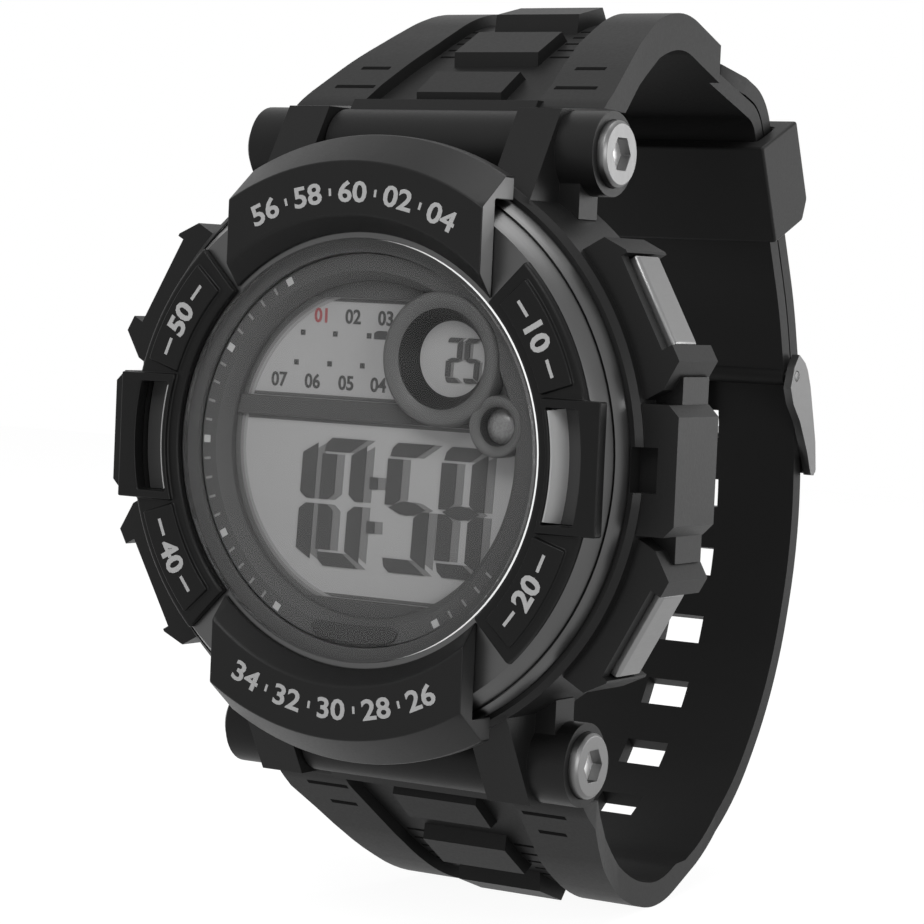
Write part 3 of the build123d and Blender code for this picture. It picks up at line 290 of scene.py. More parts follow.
@dataclass(frozen=True)
class Finish:
    """A surface finish, with its pattern sizes in real millimetres."""

    name: str
    colour: str
    roughness: float
    metallic: float = 0.0
    ior: float = 1.5
    grain: Grain = Grain.MOULDED
    grain_mm: float = 0.22
    grain_depth_mm: float = 0.006
    cloud_mm: float = 7.0
    tone: float = 0.10
    spread: float = 0.06
    coat: float = 0.0
    coat_roughness: float = 0.12
    specular: float = 0.5
    mirror: float = 1.0
    transmission: float = 0.0
    along: tuple[float, float, float] = (1.0, 1.0, 1.0)
    clear_shadow: bool = False

    def build(self) -> Material:
        """Makes the material once and returns it each time after that."""
        known = bpy.data.materials.get(self.name)
        return known if known else self._tree()

    def _tree(self) -> Material:
        """Builds the node tree.

        Returns:
            The finished material.
        """
        material = bpy.data.materials.new(self.name)
        base = linear(self.colour)
        material.diffuse_color = base
        tree = cleared_tree(material)
        place = add_node(tree, "ShaderNodeTexCoord", {}).outputs["Object"]
        clouds = add_node(tree, "ShaderNodeTexNoise", {
            "Vector": place, "Scale": 1 / (self.cloud_mm * MM), "Detail": 4.0, "Roughness": 0.6,
        })
        shade = add_node(tree, "ShaderNodeMix", {
            "Factor": clouds.outputs["Fac"],
            "A": tuple(value * (1 - self.tone) for value in base[:3]) + (1.0,),
            "B": tuple(min(1.0, value * (1 + self.tone)) for value in base[:3]) + (1.0,),
        }, data_type="RGBA")
        fine = self._fine(tree, place)
        rough = add_node(tree, "ShaderNodeMapRange", {
            "Value": fine, "To Min": self.roughness - self.spread,
            "To Max": self.roughness + self.spread,
        })
        bump = add_node(tree, "ShaderNodeBump", {
            "Height": fine, "Distance": self.grain_depth_mm * MM,
        })
        surface = add_node(tree, "ShaderNodeBsdfPrincipled", {
            "Base Color": shade.outputs["Result"], "Roughness": rough.outputs["Result"],
            "Metallic": self.metallic, "IOR": self.ior, "Normal": bump.outputs["Normal"],
            "Coat Weight": self.coat, "Coat Roughness": self.coat_roughness,
            "Transmission Weight": self.transmission, "Specular IOR Level": self.specular,
            "Specular Tint": (self.mirror, self.mirror, self.mirror, 1.0),
        }).outputs["BSDF"]
        if self.clear_shadow:
            clear = add_node(tree, "ShaderNodeBsdfTransparent", {})
            surface = add_node(tree, "ShaderNodeMixShader", {
                0: seen_by(tree, "Camera", "Transmission"), 1: clear.outputs[0], 2: surface,
            }).outputs[0]
        add_node(tree, "ShaderNodeOutputMaterial", {"Surface": surface})
        return material

    def _fine(self, tree: NodeTree, place: NodeSocket) -> NodeSocket:
        """Adds the fine pattern of this finish.

        Args:
            tree: The material's node tree.
            place: Object coordinates.

        Returns:
            The socket of the pattern's height, 0 to 1.
        """
        if self.grain is Grain.TURNED:
            split = add_node(tree, "ShaderNodeSeparateXYZ", {"Vector": place})
            flat = add_node(tree, "ShaderNodeCombineXYZ", {
                "X": split.outputs["X"], "Y": split.outputs["Z"],
            })
            reach = add_node(tree, "ShaderNodeVectorMath", {0: flat.outputs[0]}, operation="LENGTH")
            spot = add_node(tree, "ShaderNodeCombineXYZ", {
                "X": reach.outputs["Value"], "Y": split.outputs["Y"],
            })
            detail = 2.0
        else:
            stretch = self.along if self.grain is Grain.BRUSHED else (1.0, 1.0, 1.0)
            spot = add_node(tree, "ShaderNodeMapping", {"Vector": place, "Scale": stretch})
            detail = 1.0 if self.grain is Grain.PLAIN else 3.0
        return add_node(tree, "ShaderNodeTexNoise", {
            "Vector": spot.outputs[0], "Scale": 1 / (self.grain_mm * MM), "Detail": detail,
        }).outputs["Fac"]


# Starting points: brushed metal, and paint, print or plastic with an even face
metal = partial(Finish, metallic=1.0, grain=Grain.BRUSHED)
even = partial(Finish, grain=Grain.PLAIN, grain_depth_mm=0.0)

# Case resin: matte black moulding with a soft sheen on its edges
CASE_RESIN = Finish("black_case_resin", "161616", 0.42, specular=0.16)
# Plate resin: the same black, a little smoother, so that the broad plates shade evenly
PLATE_RESIN = Finish("black_plate_resin", "161616", 0.40, grain_depth_mm=0.003, specular=0.16)
# Cover resin: near black, satin
COVER_RESIN = Finish("black_cover_resin", "0f0f0f", 0.40, grain_depth_mm=0.003, specular=0.14)
# Strap resin: softer and rougher black, with a fine skin
STRAP_RESIN = Finish("black_strap_resin", "161616", 0.50, grain_mm=0.3, grain_depth_mm=0.005,
                     specular=0.15)
# Groove shade: painted shade, dull black strips where narrow moulded grooves lie
GROOVE_SHADE = Finish("painted_groove_shade", "060606", 0.8, specular=0.05)
# Seal rubber: dull black
SEAL_RUBBER = Finish("dull_seal_rubber", "141414", 0.8, specular=0.2)
# Ring metal: dark gunmetal, turned, so that light runs round it
RING_METAL = metal("turned_gunmetal", "565656", 0.36, grain=Grain.TURNED, grain_mm=0.12,
                   grain_depth_mm=0.0015, tone=0.05)
# Button metal: brushed grey steel, satin
BUTTON_METAL = metal("brushed_button_steel", "7c7c7c", 0.38, grain_mm=0.9, grain_depth_mm=0.003,
                     along=(4.0, 1.0, 4.0), tone=0.06)
# Satin steel: buckle parts and case back, bright but soft
STEEL_SATIN = metal("satin_steel", "5e5e5e", 0.38, grain_mm=0.5, grain_depth_mm=0.0015,
                    along=(0.2, 1.0, 1.0), tone=0.05)
# Screw steel: satin head that turns bright where it tilts
SCREW_STEEL = metal("satin_screw_steel", "6c6c6c", 0.40, grain_mm=0.6, grain_depth_mm=0.001,
                    along=(1.0, 3.0, 0.3), tone=0.04)
# Socket glint: painted highlight, near-white steel inside the screws' hexagon sockets
SOCKET_GLINT = metal("socket_painted_glint", "f0f0f0", 0.5, grain=Grain.PLAIN, grain_depth_mm=0.0)
# Spring steel: drawn wire
SPRING_STEEL = metal("drawn_spring_steel", "8c8c88", 0.3, grain_mm=0.2, grain_depth_mm=0.001)
# Brass: warm plain metal of the crystal's clips and contacts
BRASS_PLAIN = metal("plain_brass", "b39a5a", 0.34, grain_mm=0.2, grain_depth_mm=0.001)
# Slot silver: pale satin paint on the wall of the side slots
SLOT_SILVER = even("slot_silver_paint", "a0a0a0", 0.35, tone=0.05)
# Slot grey: dark satin paint at the bottom of the side slots
SLOT_GREY = even("slot_grey_paint", "3a3a3a", 0.45, grain_depth_mm=0.001, specular=0.2)
# Plate ends: painted highlight, satin grey on the end faces of the upper plate
PLATE_END_HIGHLIGHT = even("plate_end_painted_highlight", "707070", 0.45, tone=0.12, cloud_mm=4.0, specular=0.3)
# Lower plate's ends: painted shade, a darker grey on the end faces of the lower plate
LOWER_END_SHADE = even("lower_end_painted_shade", "242424", 0.45, tone=0.12, cloud_mm=4.0, specular=0.2)
# Dial grey: printed matte grey round the windows
DIAL_GREY = even("printed_dial_grey", "4c4c4c", 0.65, grain_mm=0.4, tone=0.04, specular=0.1)
# Dial rims: moulded grey, a little lighter and smoother than the print
DIAL_RIM = even("moulded_dial_grey", "505050", 0.5, grain_mm=0.4, specular=0.25)
# Bowl shade: painted shade on the inner walls of the round window and the small dish
BOWL_SHADE = even("bowl_shade", "222222", 0.5, specular=0.15)
# Dish dome: pale satin dome in the small dish
DISH_DOME = even("dish_dome_grey", "6c6c6c", 0.28)
# Pad grey: the small dark pad below the window
PAD_GREY = even("dark_pad_grey", "383838", 0.55, specular=0.15)
# Display glass: pale grey reflector under a clear film
LCD_GREY = even("display_grey", "999999", 0.6, grain_mm=0.5, tone=0.03, cloud_mm=12, specular=0.1)
# Window shades: painted shadow of the mask on the display along the windows' edges, dark to light
WINDOW_SHADES = tuple(even(name, code, 0.7, specular=0.1) for name, code in (
    ("window_shade", "5c5c5c"), ("window_shade_middle", "757575"), ("window_shade_light", "888888"),
))
# Light panel: milky plastic sheet
LIGHT_PANEL = Finish("milky_light_panel", "c9d6c4", 0.4, ior=1.49, grain=Grain.PLAIN)
# Module plastic: cream moulded frame
MODULE_PLASTIC = Finish("cream_module_plastic", "d8d2c0", 0.5)
# Board green: lacquered circuit board
BOARD_GREEN = Finish("lacquered_board", "1e5a34", 0.35, grain=Grain.PLAIN, coat=0.3)
# Watch glass: clear mineral glass, coated so that little light mirrors off its face
WATCH_GLASS = even("clear_mineral_glass", "ffffff", 0.01, tone=0.0, spread=0.0, transmission=1.0,
                   mirror=0.12, clear_shadow=True)
# White print: matte ink of numbers and marks
PRINT_WHITE = even("white_print", "a8a8a8", 0.55, grain_mm=0.1, grain_depth_mm=0.001, tone=0.04,
                   specular=0.2)
# Tick grey: thinner ink of the minute dashes
TICK_GREY = even("tick_grey_print", "7c7c7c", 0.55, specular=0.1)
# Segment dark: the display's switched-on segments
SEGMENT_DARK = even("segment_dark", "4a4a4a", 0.5, specular=0.1)
# Segment shadow: what the segments throw on the reflector behind them
SEGMENT_SHADOW = even("segment_shadow", "707070", 0.5, specular=0.1)
# Red print: dull red ink of the first day's number
PRINT_RED = even("dull_red_print", "8f5355", 0.5, specular=0.1)

SLOT_FINISHES = {
    "case_resin": CASE_RESIN, "plate_resin": PLATE_RESIN, "cover_resin": COVER_RESIN,
    "strap_resin": STRAP_RESIN, "seal_rubber": SEAL_RUBBER, "ring_metal": RING_METAL,
    "button_metal": BUTTON_METAL, "steel_satin": STEEL_SATIN, "steel_bright": SCREW_STEEL,
    "spring_steel": SPRING_STEEL, "brass_plain": BRASS_PLAIN, "slot_grey": SLOT_GREY,
    "dial_grey": DIAL_GREY, "dial_black": DIAL_RIM, "lcd_grey": LCD_GREY,
    "light_panel": LIGHT_PANEL, "module_plastic": MODULE_PLASTIC, "board_green": BOARD_GREEN,
    "watch_glass": WATCH_GLASS,
}


# Pieces made from CAD nodes, and flat printed shapes


def copied_node(node: str, cleared: bool = True) -> Object:
    """Copies a CAD node's mesh, merges its loose triangles and clears flat faces of edges.

    Args:
        node: The CAD node.
        cleared: Whether edges inside flat faces are taken out.

    Returns:
        An object with the merged copy.
    """
    mesh = frame["nodes"][node].data.copy()
    mesh.materials.clear()
    work = bmesh.new()
    work.from_mesh(mesh)
    bmesh.ops.remove_doubles(work, verts=work.verts, dist=MERGE_MM * MM)
    if cleared:
        bmesh.ops.dissolve_limit(work, angle_limit=math.radians(FLAT_ANGLE), verts=work.verts,
                                 edges=work.edges, delimit=set())
    work.to_mesh(mesh)
    work.free()
    if mesh.attributes.get("custom_normal"):
        mesh.attributes.remove(mesh.attributes["custom_normal"])
    return new_object(f"{node}_dressed", mesh)


def softened(piece: Object, width_mm: float, finish: Finish) -> Object:
    """Rounds a piece's edges a little, smooths its shading and gives it its finish.

    Args:
        piece: The object to finish.
        width_mm: Width of the edge rounding.
        finish: Its finish.

    Returns:
        The same object.
    """
    rounding = piece.modifiers.new("edge_rounding", "BEVEL")
    rounding.width = width_mm * MM
    rounding.segments = 2
    rounding.angle_limit = math.radians(ROUNDED_ANGLE)
    rounding.miter_outer = "MITER_ARC"
    dressed(settled(piece), finish, CRISP_ANGLE)
    weighing = piece.modifiers.new("flat_faces_stay_flat", "WEIGHTED_NORMAL")
    weighing.keep_sharp = True
    weighing.weight = 60
    return settled(piece)


def dressed(piece: Object, finish: Finish, sharp: float = 40.0) -> Object:
    """Smooths a piece's shading between its sharp edges and gives it its finish.

    Args:
        piece: The object to finish.
        finish: Its finish.
        sharp: Edges sharper than this keep a crisp line, degrees.

    Returns:
        The same object.
    """
    piece.data.shade_smooth()
    piece.data.set_sharp_from_angle(angle=math.radians(sharp))
    piece.data.materials.clear()
    piece.data.materials.append(finish.build())
    return piece


def node_slots() -> dict[str, str]:
    """Material slot of each CAD node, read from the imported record."""
    return {part["node"]: part["material_slot"] for part in frame["record"]["subparts"]}


def stands_for(piece: Object, node: str) -> None:
    """Puts a piece in a CAD node's place, on the node's own body.

    Args:
        piece: The finished object.
        node: The CAD node that it replaces.
    """
    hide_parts(node)
    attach(piece, frame["nodes"][node]["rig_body"])
    LOG.info("%s stands for %s", piece.name, node)


def dress_node(node: str, width_mm: float, finish: Finish) -> None:
    """Puts a copy of a CAD node with rounded edges and a finish in the node's place."""
    stands_for(softened(copied_node(node), width_mm, finish), node)


def lettering(text: str, height_mm: float, place: Matrix, finish: Finish, width_share: float,
              bold_mm: float) -> Object:
    """Makes plain numerals as a thin raised mesh.

    Args:
        text: The numerals.
        height_mm: Height of a numeral.
        place: Matrix from the drawing in millimetres to the frame.
        finish: The ink.
        width_share: Share of the normal width.
        bold_mm: Extra stroke width.

    Returns:
        The finished object, not yet on a body.
    """
    curve = bpy.data.curves.new(text, "FONT")
    curve.body = text
    curve.align_x = "CENTER"
    curve.align_y = "CENTER"
    curve.size = height_mm / NUMERAL_SHARE
    curve.offset = bold_mm
    curve.extrude = NUMERAL_MM / 2
    curve.resolution_u = 3
    flat = new_object(text, curve)
    mesh = evaluated_mesh(flat)
    bpy.data.objects.remove(flat)
    corners = [vertex.co for vertex in mesh.vertices]
    centre = Vector((middle([c.x for c in corners]), middle([c.y for c in corners]), 0))
    mesh.transform(Matrix.Translation(-centre))
    mesh.transform(Matrix.Diagonal((width_share, 1, 1, 1)))
    mesh.transform(place)
    return dressed(new_object(f"numerals_{text}", mesh), finish)


def joined(name: str, pieces: list) -> Object:
    """Joins finished objects with one material each into one piece.

    Args:
        name: The joined piece's name.
        pieces: Objects at the origin.

    Returns:
        One object that holds all their meshes.
    """
    work = bmesh.new()
    materials = []
    for piece in pieces:
        material = piece.data.materials[0]
        if material not in materials:
            materials.append(material)
        start = len(work.faces)
        work.from_mesh(piece.data)
        work.faces.ensure_lookup_table()
        for face in work.faces[start:]:
            face.material_index = materials.index(material)
    mesh = bpy.data.meshes.new(name)
    work.to_mesh(mesh)
    work.free()
    for piece in pieces:
        old = piece.data
        bpy.data.objects.remove(piece)
        bpy.data.meshes.remove(old)
    for material in materials:
        mesh.materials.append(material)
    LOG.info("%s joined from %d shapes", name, len(pieces))
    return new_object(name, mesh)


def slab(name: str, outline: list, depth: float, thickness: float = INK_MM) -> Object:
    """Thin flat shape that lies on the dial side.

    Args:
        name: The piece's name.
        outline: Points (x, z) in millimetres, anticlockwise as the reader sees them.
        depth: Depth of its underside, mm.
        thickness: How far it stands proud, mm.

    Returns:
        The object, without a material.
    """
    count = len(outline)
    points = [(x, -depth, z) for x, z in outline] + [(x, -depth - thickness, z) for x, z in outline]
    faces = [tuple(range(count, 2 * count)), tuple(reversed(range(count)))]
    for place in range(count):
        following = (place + 1) % count
        faces.append((place, following, following + count, place + count))
    return solid(name, points, faces)


def turned(name: str, profile: tuple, centre: tuple, steps: int, start: float = 0.0,
           sweep: float = 360.0) -> Object:
    """Turns a closed profile round an axis that faces the reader.

    Args:
        name: The piece's name.
        profile: Points (radius, depth) in millimetres of a closed outline.
        centre: Place (x, z) of the axis, mm.
        steps: Steps round the axis.
        start: Clockwise start angle, degrees.
        sweep: Clockwise angle that is turned through, degrees.

    Returns:
        The object, without a material.
    """
    whole = sweep >= 360
    rows = steps if whole else steps + 1
    count = len(profile)
    points = []
    for row in range(rows):
        across, up = clock(start + sweep * row / steps, 1.0)
        points += [(centre[0] + radius * across, -depth, centre[1] + radius * up)
                   for radius, depth in profile]
    faces = []
    for row in range(steps):
        for place in range(count):
            following = (place + 1) % count
            near, far = row * count, (row + 1) % rows * count
            faces.append((near + place, near + following, far + following, far + place))
    if not whole:
        faces += [tuple(range(count)), tuple(range((rows - 1) * count, rows * count))]
    return solid(name, points, faces)


def shade_and_tone_near_axis(piece: Object, centre: tuple, steps: tuple) -> Object:
    """Gives the faces near an axis other finishes than the rest, such as painted shade on inner
    walls.

    Args:
        piece: A turned piece with one finish.
        centre: Place (x, z) of the axis, mm.
        steps: Pairs of reach in millimetres and finish, from the widest to the narrowest.

    Returns:
        The same object.
    """
    for number, (reach, finish) in enumerate(steps):
        piece.data.materials.append(finish.build())
        for face in piece.data.polygons:
            across, up = face.center.x / MM - centre[0], face.center.z / MM - centre[1]
            if math.hypot(across, up) < reach:
                face.material_index = number + 1
    return piece


class RingRepeat:
    """Geometry Nodes tree that sets copies of one shape round the dial's axis."""

    def __init__(self, name: str) -> None:
        """Builds the tree with its named inputs.

        Args:
            name: The tree's name.
        """
        tree = bpy.data.node_groups.new(name, "GeometryNodeTree")
        face = tree.interface
        face.new_socket("Geometry", in_out="INPUT", socket_type="NodeSocketGeometry")
        self.sockets = {
            label: face.new_socket(label, in_out="INPUT", socket_type=kind).identifier
            for label, kind in (
                ("Count", "NodeSocketInt"), ("First angle", "NodeSocketFloat"),
                ("Step angle", "NodeSocketFloat"), ("Ink", "NodeSocketMaterial"),
            )
        }
        face.new_socket("Geometry", in_out="OUTPUT", socket_type="NodeSocketGeometry")
        source = add_node(tree, "NodeGroupInput", {})
        line = add_node(tree, "GeometryNodeMeshLine", {
            "Count": source.outputs["Count"], "Offset": (0.0, 0.0, 0.0),
        })
        number = add_node(tree, "GeometryNodeInputIndex", {})
        step = add_node(tree, "ShaderNodeMath", {
            0: number.outputs[0], 1: source.outputs["Step angle"],
        }, operation="MULTIPLY")
        angle = add_node(tree, "ShaderNodeMath", {
            0: step.outputs[0], 1: source.outputs["First angle"],
        }, operation="ADD")
        turn = add_node(tree, "ShaderNodeCombineXYZ", {"Y": angle.outputs[0]})
        copies = add_node(tree, "GeometryNodeInstanceOnPoints", {
            "Points": line.outputs["Mesh"], "Instance": source.outputs["Geometry"],
            "Rotation": turn.outputs[0],
        })
        solid = add_node(tree, "GeometryNodeRealizeInstances", {"Geometry": copies.outputs[0]})
        inked = add_node(tree, "GeometryNodeSetMaterial", {
            "Geometry": solid.outputs[0], "Material": source.outputs["Ink"],
        })
        add_node(tree, "NodeGroupOutput", {"Geometry": inked.outputs[0]})
        self.tree = tree

    def repeat(self, piece: Object, count: int, first: float, step: float,
               finish: Finish) -> Object:
        """Repeats a piece round the dial's axis and leaves a plain mesh.

        Args:
            piece: The first copy, standing at 12 o'clock.
            count: Number of copies.
            first: Clockwise angle of the first copy, degrees.
            step: Clockwise angle between copies, degrees.
            finish: The finish of all copies.

        Returns:
            The same object with all copies.
        """
        live = piece.modifiers.new("round_the_dial", "NODES")
        live.node_group = self.tree
        live[self.sockets["Count"]] = count
        live[self.sockets["First angle"]] = math.radians(first)
        live[self.sockets["Step angle"]] = math.radians(step)
        live[self.sockets["Ink"]] = finish.build()
        return dressed(settled(piece), finish)


# Dial and display

# Lit segments of the figures that show
LIT = {"0": "abcdef", "1": "bc", "2": "abdeg", "5": "acdfg", "8": "abcdefg"}


@dataclass
class Display:
    """What the display shows: the time, the day numbers and painted shadow along the window edges.
    """

    depth: float = 10.0
    figures_lift: float = 0.06
    digit_height: float = 10.7
    digit_width: float = 4.35
    stroke: float = 1.45
    bar: float = 1.15
    gap: float = 0.2
    cut_share: float = 0.55
    bend_share: float = 0.45
    waist_share: float = 0.42
    tip_shares: tuple = (0.6, 0.15, 0.4)
    corner_gap_share: float = 2.5
    slant: float = 0.045
    base: float = -9.95
    cells: tuple = (("1", -10.35), ("0", -5.5), ("5", 1.0), ("8", 6.2))
    colon: tuple = ((0.1, -2.75), (-0.05, -6.4))
    colon_half: tuple[float, float] = (0.4, 0.5)
    shadow_shift: float = 0.75
    small_share: float = 0.34
    small_base: float = 5.95
    small_cells: tuple = (("2", 6.5), ("5", 8.2))
    day_height: float = 1.15
    day_width_share: float = 0.95
    day_bold: float = 0.04
    day_rows: tuple = (
        (10.85, ((1, -5.85), (2, -2.65), (3, 0.55))),
        (5.35, ((7, -9.8), (6, -6.45), (5, -3.1), (4, 0.1))),
    )
    dot_half: float = 0.22
    dot_rows: tuple = ((9.35, (-7.58, -4.35, -1.0)), (6.85, (-8.14, -4.8, -1.54)))
    day_mark: tuple = ((-0.5, 9.1), (0.75, 9.1), (0.75, 9.8), (-0.15, 9.8), (-0.5, 9.6))
    edges: tuple = ((12.2, 6.7), (4.1, 13.2), (2.1, 13.6), (-12.3, 6.5))
    edge_half: float = 0.15
    edge_rise: float = 0.02
    arc_reaches: tuple = (14.1, 13.5, 13.2, 12.95)
    arc_steps: int = 64
    arc_start: float = 195.0
    arc_sweep: float = 150.0

    def segment(self, letter: str, width: float, height: float, stroke: float, bar: float) -> list:
        """Outline of one segment in its own cell.

        Args:
            letter: Segment letter, a to g.
            width: Cell width, mm.
            height: Cell height, mm.
            stroke: Width of upright segments, mm.
            bar: Height of level segments, mm.

        Returns:
            Points (x, z) in the cell.
        """
        gap = self.gap * height / self.digit_height
        half = height / 2
        cut = stroke * self.cut_share
        bend = half + gap + bar * self.bend_share
        waist = bar * self.waist_share
        over, under, drop = (bar * share for share in self.tip_shares)
        upright = [(0, half + gap), (cut, half + gap), (stroke, bend),
                   (stroke, height - bar - gap), (0, height - bar - gap)]
        level = [(gap, height - bar), (width - stroke - gap, height - bar), (width, height),
                 (gap + over, height), (gap + under, height - drop)]
        corner = [(width - stroke, height - bar - gap),
                  (width, height - gap * self.corner_gap_share), (width, half + gap),
                  (width - cut, half + gap), (width - stroke, bend)]
        shapes = {
            "f": upright,
            "e": [(x, height - z) for x, z in upright],
            "b": corner,
            "c": [(x, height - z) for x, z in corner],
            "a": level,
            "d": [(x, height - z) for x, z in level],
            "g": [(gap * 2, half), (stroke, half - waist), (width / 2, half - bar / 2),
                  (width - stroke, half - waist), (width - gap * 2, half),
                  (width - stroke, half + waist), (width / 2, half + bar / 2),
                  (stroke, half + waist)],
        }
        return shapes[letter]

    def figure(self, digit: str, left: float, base: float, size: float, depth: float,
               finish: Finish) -> list:
        """Segments of one figure.

        Args:
            digit: The figure.
            left: Left edge of its cell, mm.
            base: Bottom of its cell, mm.
            size: Share of the large figures' size.
            depth: Depth of its face, mm.
            finish: The finish.

        Returns:
            The segments as objects.
        """
        pieces = []
        for letter in LIT[digit]:
            outline = self.segment(letter, self.digit_width * size, self.digit_height * size,
                                   self.stroke * size, self.bar * size)
            outline = [(left + x + self.slant * z, base + z) for x, z in outline]
            pieces.append(dressed(slab(f"segment_{letter}", outline, depth), finish))
        return pieces

    def build(self) -> None:
        """Builds the figures and prints."""
        for label, finish, shift, depth in (
            ("shadow", SEGMENT_SHADOW, self.shadow_shift, self.depth),
            ("figures", SEGMENT_DARK, 0.0, self.depth + self.figures_lift),
        ):
            pieces = []
            for digit, left in self.cells:
                pieces += self.figure(digit, left + shift, self.base, 1.0, depth, finish)
            for x, z in self.colon:
                dot = rectangle(x + shift, z, *self.colon_half)
                pieces.append(dressed(slab("colon_dot", dot, depth), finish))
            for digit, left in self.small_cells:
                pieces += self.figure(digit, left + shift * self.small_share, self.small_base,
                                      self.small_share, depth, finish)
            figures = joined(f"display_{label}", pieces)
            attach(figures, "watch")
        self._day_numbers()
        self._window_shades()

    def _day_numbers(self) -> None:
        """Prints the days' numbers, a dot for each and the mark beside the round window."""
        shapes = []
        for z, days in self.day_rows:
            for day, x in days:
                ink = PRINT_RED if day == 1 else SEGMENT_DARK
                shapes.append(lettering(f"0{day}", self.day_height, dial_place(x, z, self.depth),
                                        ink, self.day_width_share, self.day_bold))
        dots = [rectangle(x, z, self.dot_half, self.dot_half)
                for z, places in self.dot_rows for x in places]
        for outline in dots + [self.day_mark]:
            shapes.append(dressed(slab("day_mark", outline, self.depth, MARK_MM), SEGMENT_DARK))
        numbers = joined("day_numbers", shapes)
        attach(numbers, "watch")

    def _window_shades(self) -> None:
        """Draws the painted shadow that the mask throws along the windows' edges."""
        lines = [
            dressed(slab("window_edge", rectangle(0, z, half_width, self.edge_half), self.depth,
                         self.edge_rise), WINDOW_SHADES[0])
            for z, half_width in self.edges
        ]
        front = self.depth + MARK_MM
        for outer, inner, finish in zip(self.arc_reaches, self.arc_reaches[1:], WINDOW_SHADES):
            arc = turned("window_arc", (
                (inner, self.depth), (outer, self.depth), (outer, front), (inner, front),
            ), DIAL_CENTRE, self.arc_steps, self.arc_start, self.arc_sweep)
            lines.append(dressed(arc, finish))
        shades = joined("window_shadow_lines", lines)
        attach(shades, "watch")


@dataclass
class Dial:
    """Tick ring, windows and rims under the glass."""

    flange_front: float = 11.9
    flange_edge: float = 0.05
    mask_edge: float = 0.04
    tick_radius: float = 15.6
    square_half: float = 0.31
    squares: tuple = (("tick_squares", 5, 210), ("tick_square_right", 1, 150))
    dash_half: tuple[float, float] = (0.1, 0.31)
    dashes_between: int = 4
    dashes: tuple = (("left", 4, 216), ("right", 1, 126))
    eye: tuple[float, float] = (7.15, 7.85)
    eye_steps: int = 96
    eye_bowl: float = 4.08
    eye_profile: tuple = (
        (5.5, 10.4), (5.5, 11.85), (5.3, 12.12), (5.0, 12.2), (4.1, 11.75), (3.98, 11.55),
        (3.3, 10.3), (3.1, 10.05), (3.1, 10.02), (3.5, 10.02), (3.5, 10.35),
    )
    small: tuple[float, float] = (12.6, 2.7)
    small_steps: int = 64
    small_bowl: float = 1.7
    small_dome: float = 1.3
    small_profile: tuple = (
        (2.5, 10.4), (2.5, 11.75), (2.4, 11.95), (2.2, 12.0), (1.6, 11.6), (1.45, 10.7),
        (1.1, 11.0), (0.6, 11.2), (0.0, 11.28), (0.0, 10.4),
    )
    pad_edge: float = 0.15
    pad_sunk: float = 0.1
    pad_thickness: float = 0.3
    pad_outline: tuple = (
        (-3.6, -14.2), (-4.3, -14.6), (-4.0, -15.3), (-3.1, -15.7), (0.0, -16.0), (3.1, -15.7),
        (4.0, -15.3), (4.3, -14.6), (3.6, -14.2), (0.0, -14.35),
    )

    def build(self) -> None:
        """Dresses the dial's nodes and prints the ticks."""
        dress_node("dial_flange", self.flange_edge, DIAL_GREY)
        dress_node("dial_mask", self.mask_edge, DIAL_GREY)
        self._rims()
        self._ticks()
        pad = slab("lower_pad", self.pad_outline, self.flange_front - self.pad_sunk,
                   self.pad_thickness)
        softened(pad, self.pad_edge, PAD_GREY)
        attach(pad, "watch")

    def _ticks(self) -> None:
        """Prints squares at the hours and dashes at the minutes between them."""
        ring = RingRepeat("ticks_round_the_dial")
        pieces = []
        for name, count, first in self.squares:
            outline = rectangle(0, self.tick_radius, self.square_half, self.square_half)
            square = slab(name, outline, self.flange_front, MARK_MM)
            pieces.append(ring.repeat(square, count, first, HOUR_ANGLE, PRINT_WHITE))
        for number in range(self.dashes_between):
            for side, count, first in self.dashes:
                outline = rectangle(0, self.tick_radius, *self.dash_half)
                dash = slab(f"tick_dashes_{side}", outline, self.flange_front, MARK_MM)
                pieces.append(ring.repeat(dash, count, first + MINUTE_ANGLE * number, HOUR_ANGLE,
                                          TICK_GREY))
        ticks = joined("minute_ticks", pieces)
        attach(ticks, "watch")

    def _rims(self) -> None:
        """Turns the funnel rims of the round window and of the small dish beside it, with painted
        shade on their inner walls.
        """
        for name, node, profile, centre, steps, shades_and_tones in (
            ("eye_rim", "eye_ring", self.eye_profile, self.eye, self.eye_steps,
             ((self.eye_bowl, BOWL_SHADE),)),
            ("small_dish", "small_ring", self.small_profile, self.small, self.small_steps,
             ((self.small_bowl, BOWL_SHADE), (self.small_dome, DISH_DOME))),
        ):
            rim = dressed(turned(name, profile, centre, steps), DIAL_RIM, RIM_ANGLE)
            stands_for(shade_and_tone_near_axis(rim, centre, shades_and_tones), node)


# Bezel


@dataclass(frozen=True)
class PrintRing:
    """Numbers and marks of one size, printed round the dial's axis on one face."""

    radius: float
    depth: float
    height: float
    width_share: float
    bold: float
    mark_half: tuple[float, float]

    def number(self, text: str, angle: float) -> Object:
        """Prints a number at a clock angle, upright for the reader.

        Args:
            text: The number.
            angle: Clockwise angle from 12 o'clock, degrees.

        Returns:
            The number as an object.
        """
        turn = angle + 180 if 90 < angle < 270 else angle
        place = dial_place(*clock(angle, self.radius), self.depth, turn)
        return lettering(text, self.height, place, PRINT_WHITE, self.width_share, self.bold)

    def mark(self, angle: float) -> Object:
        """Prints a small rectangle at a clock angle, turned with it.

        Args:
            angle: Clockwise angle from 12 o'clock, degrees.

        Returns:
            The rectangle as an object.
        """
        x, z = clock(angle, self.radius)
        sine, cosine = clock(angle, 1.0)
        outline = [(x + across * cosine + up * sine, z - across * sine + up * cosine)
                   for across, up in rectangle(0, 0, *self.mark_half)]
        return dressed(slab("printed_mark", outline, self.depth), PRINT_WHITE)


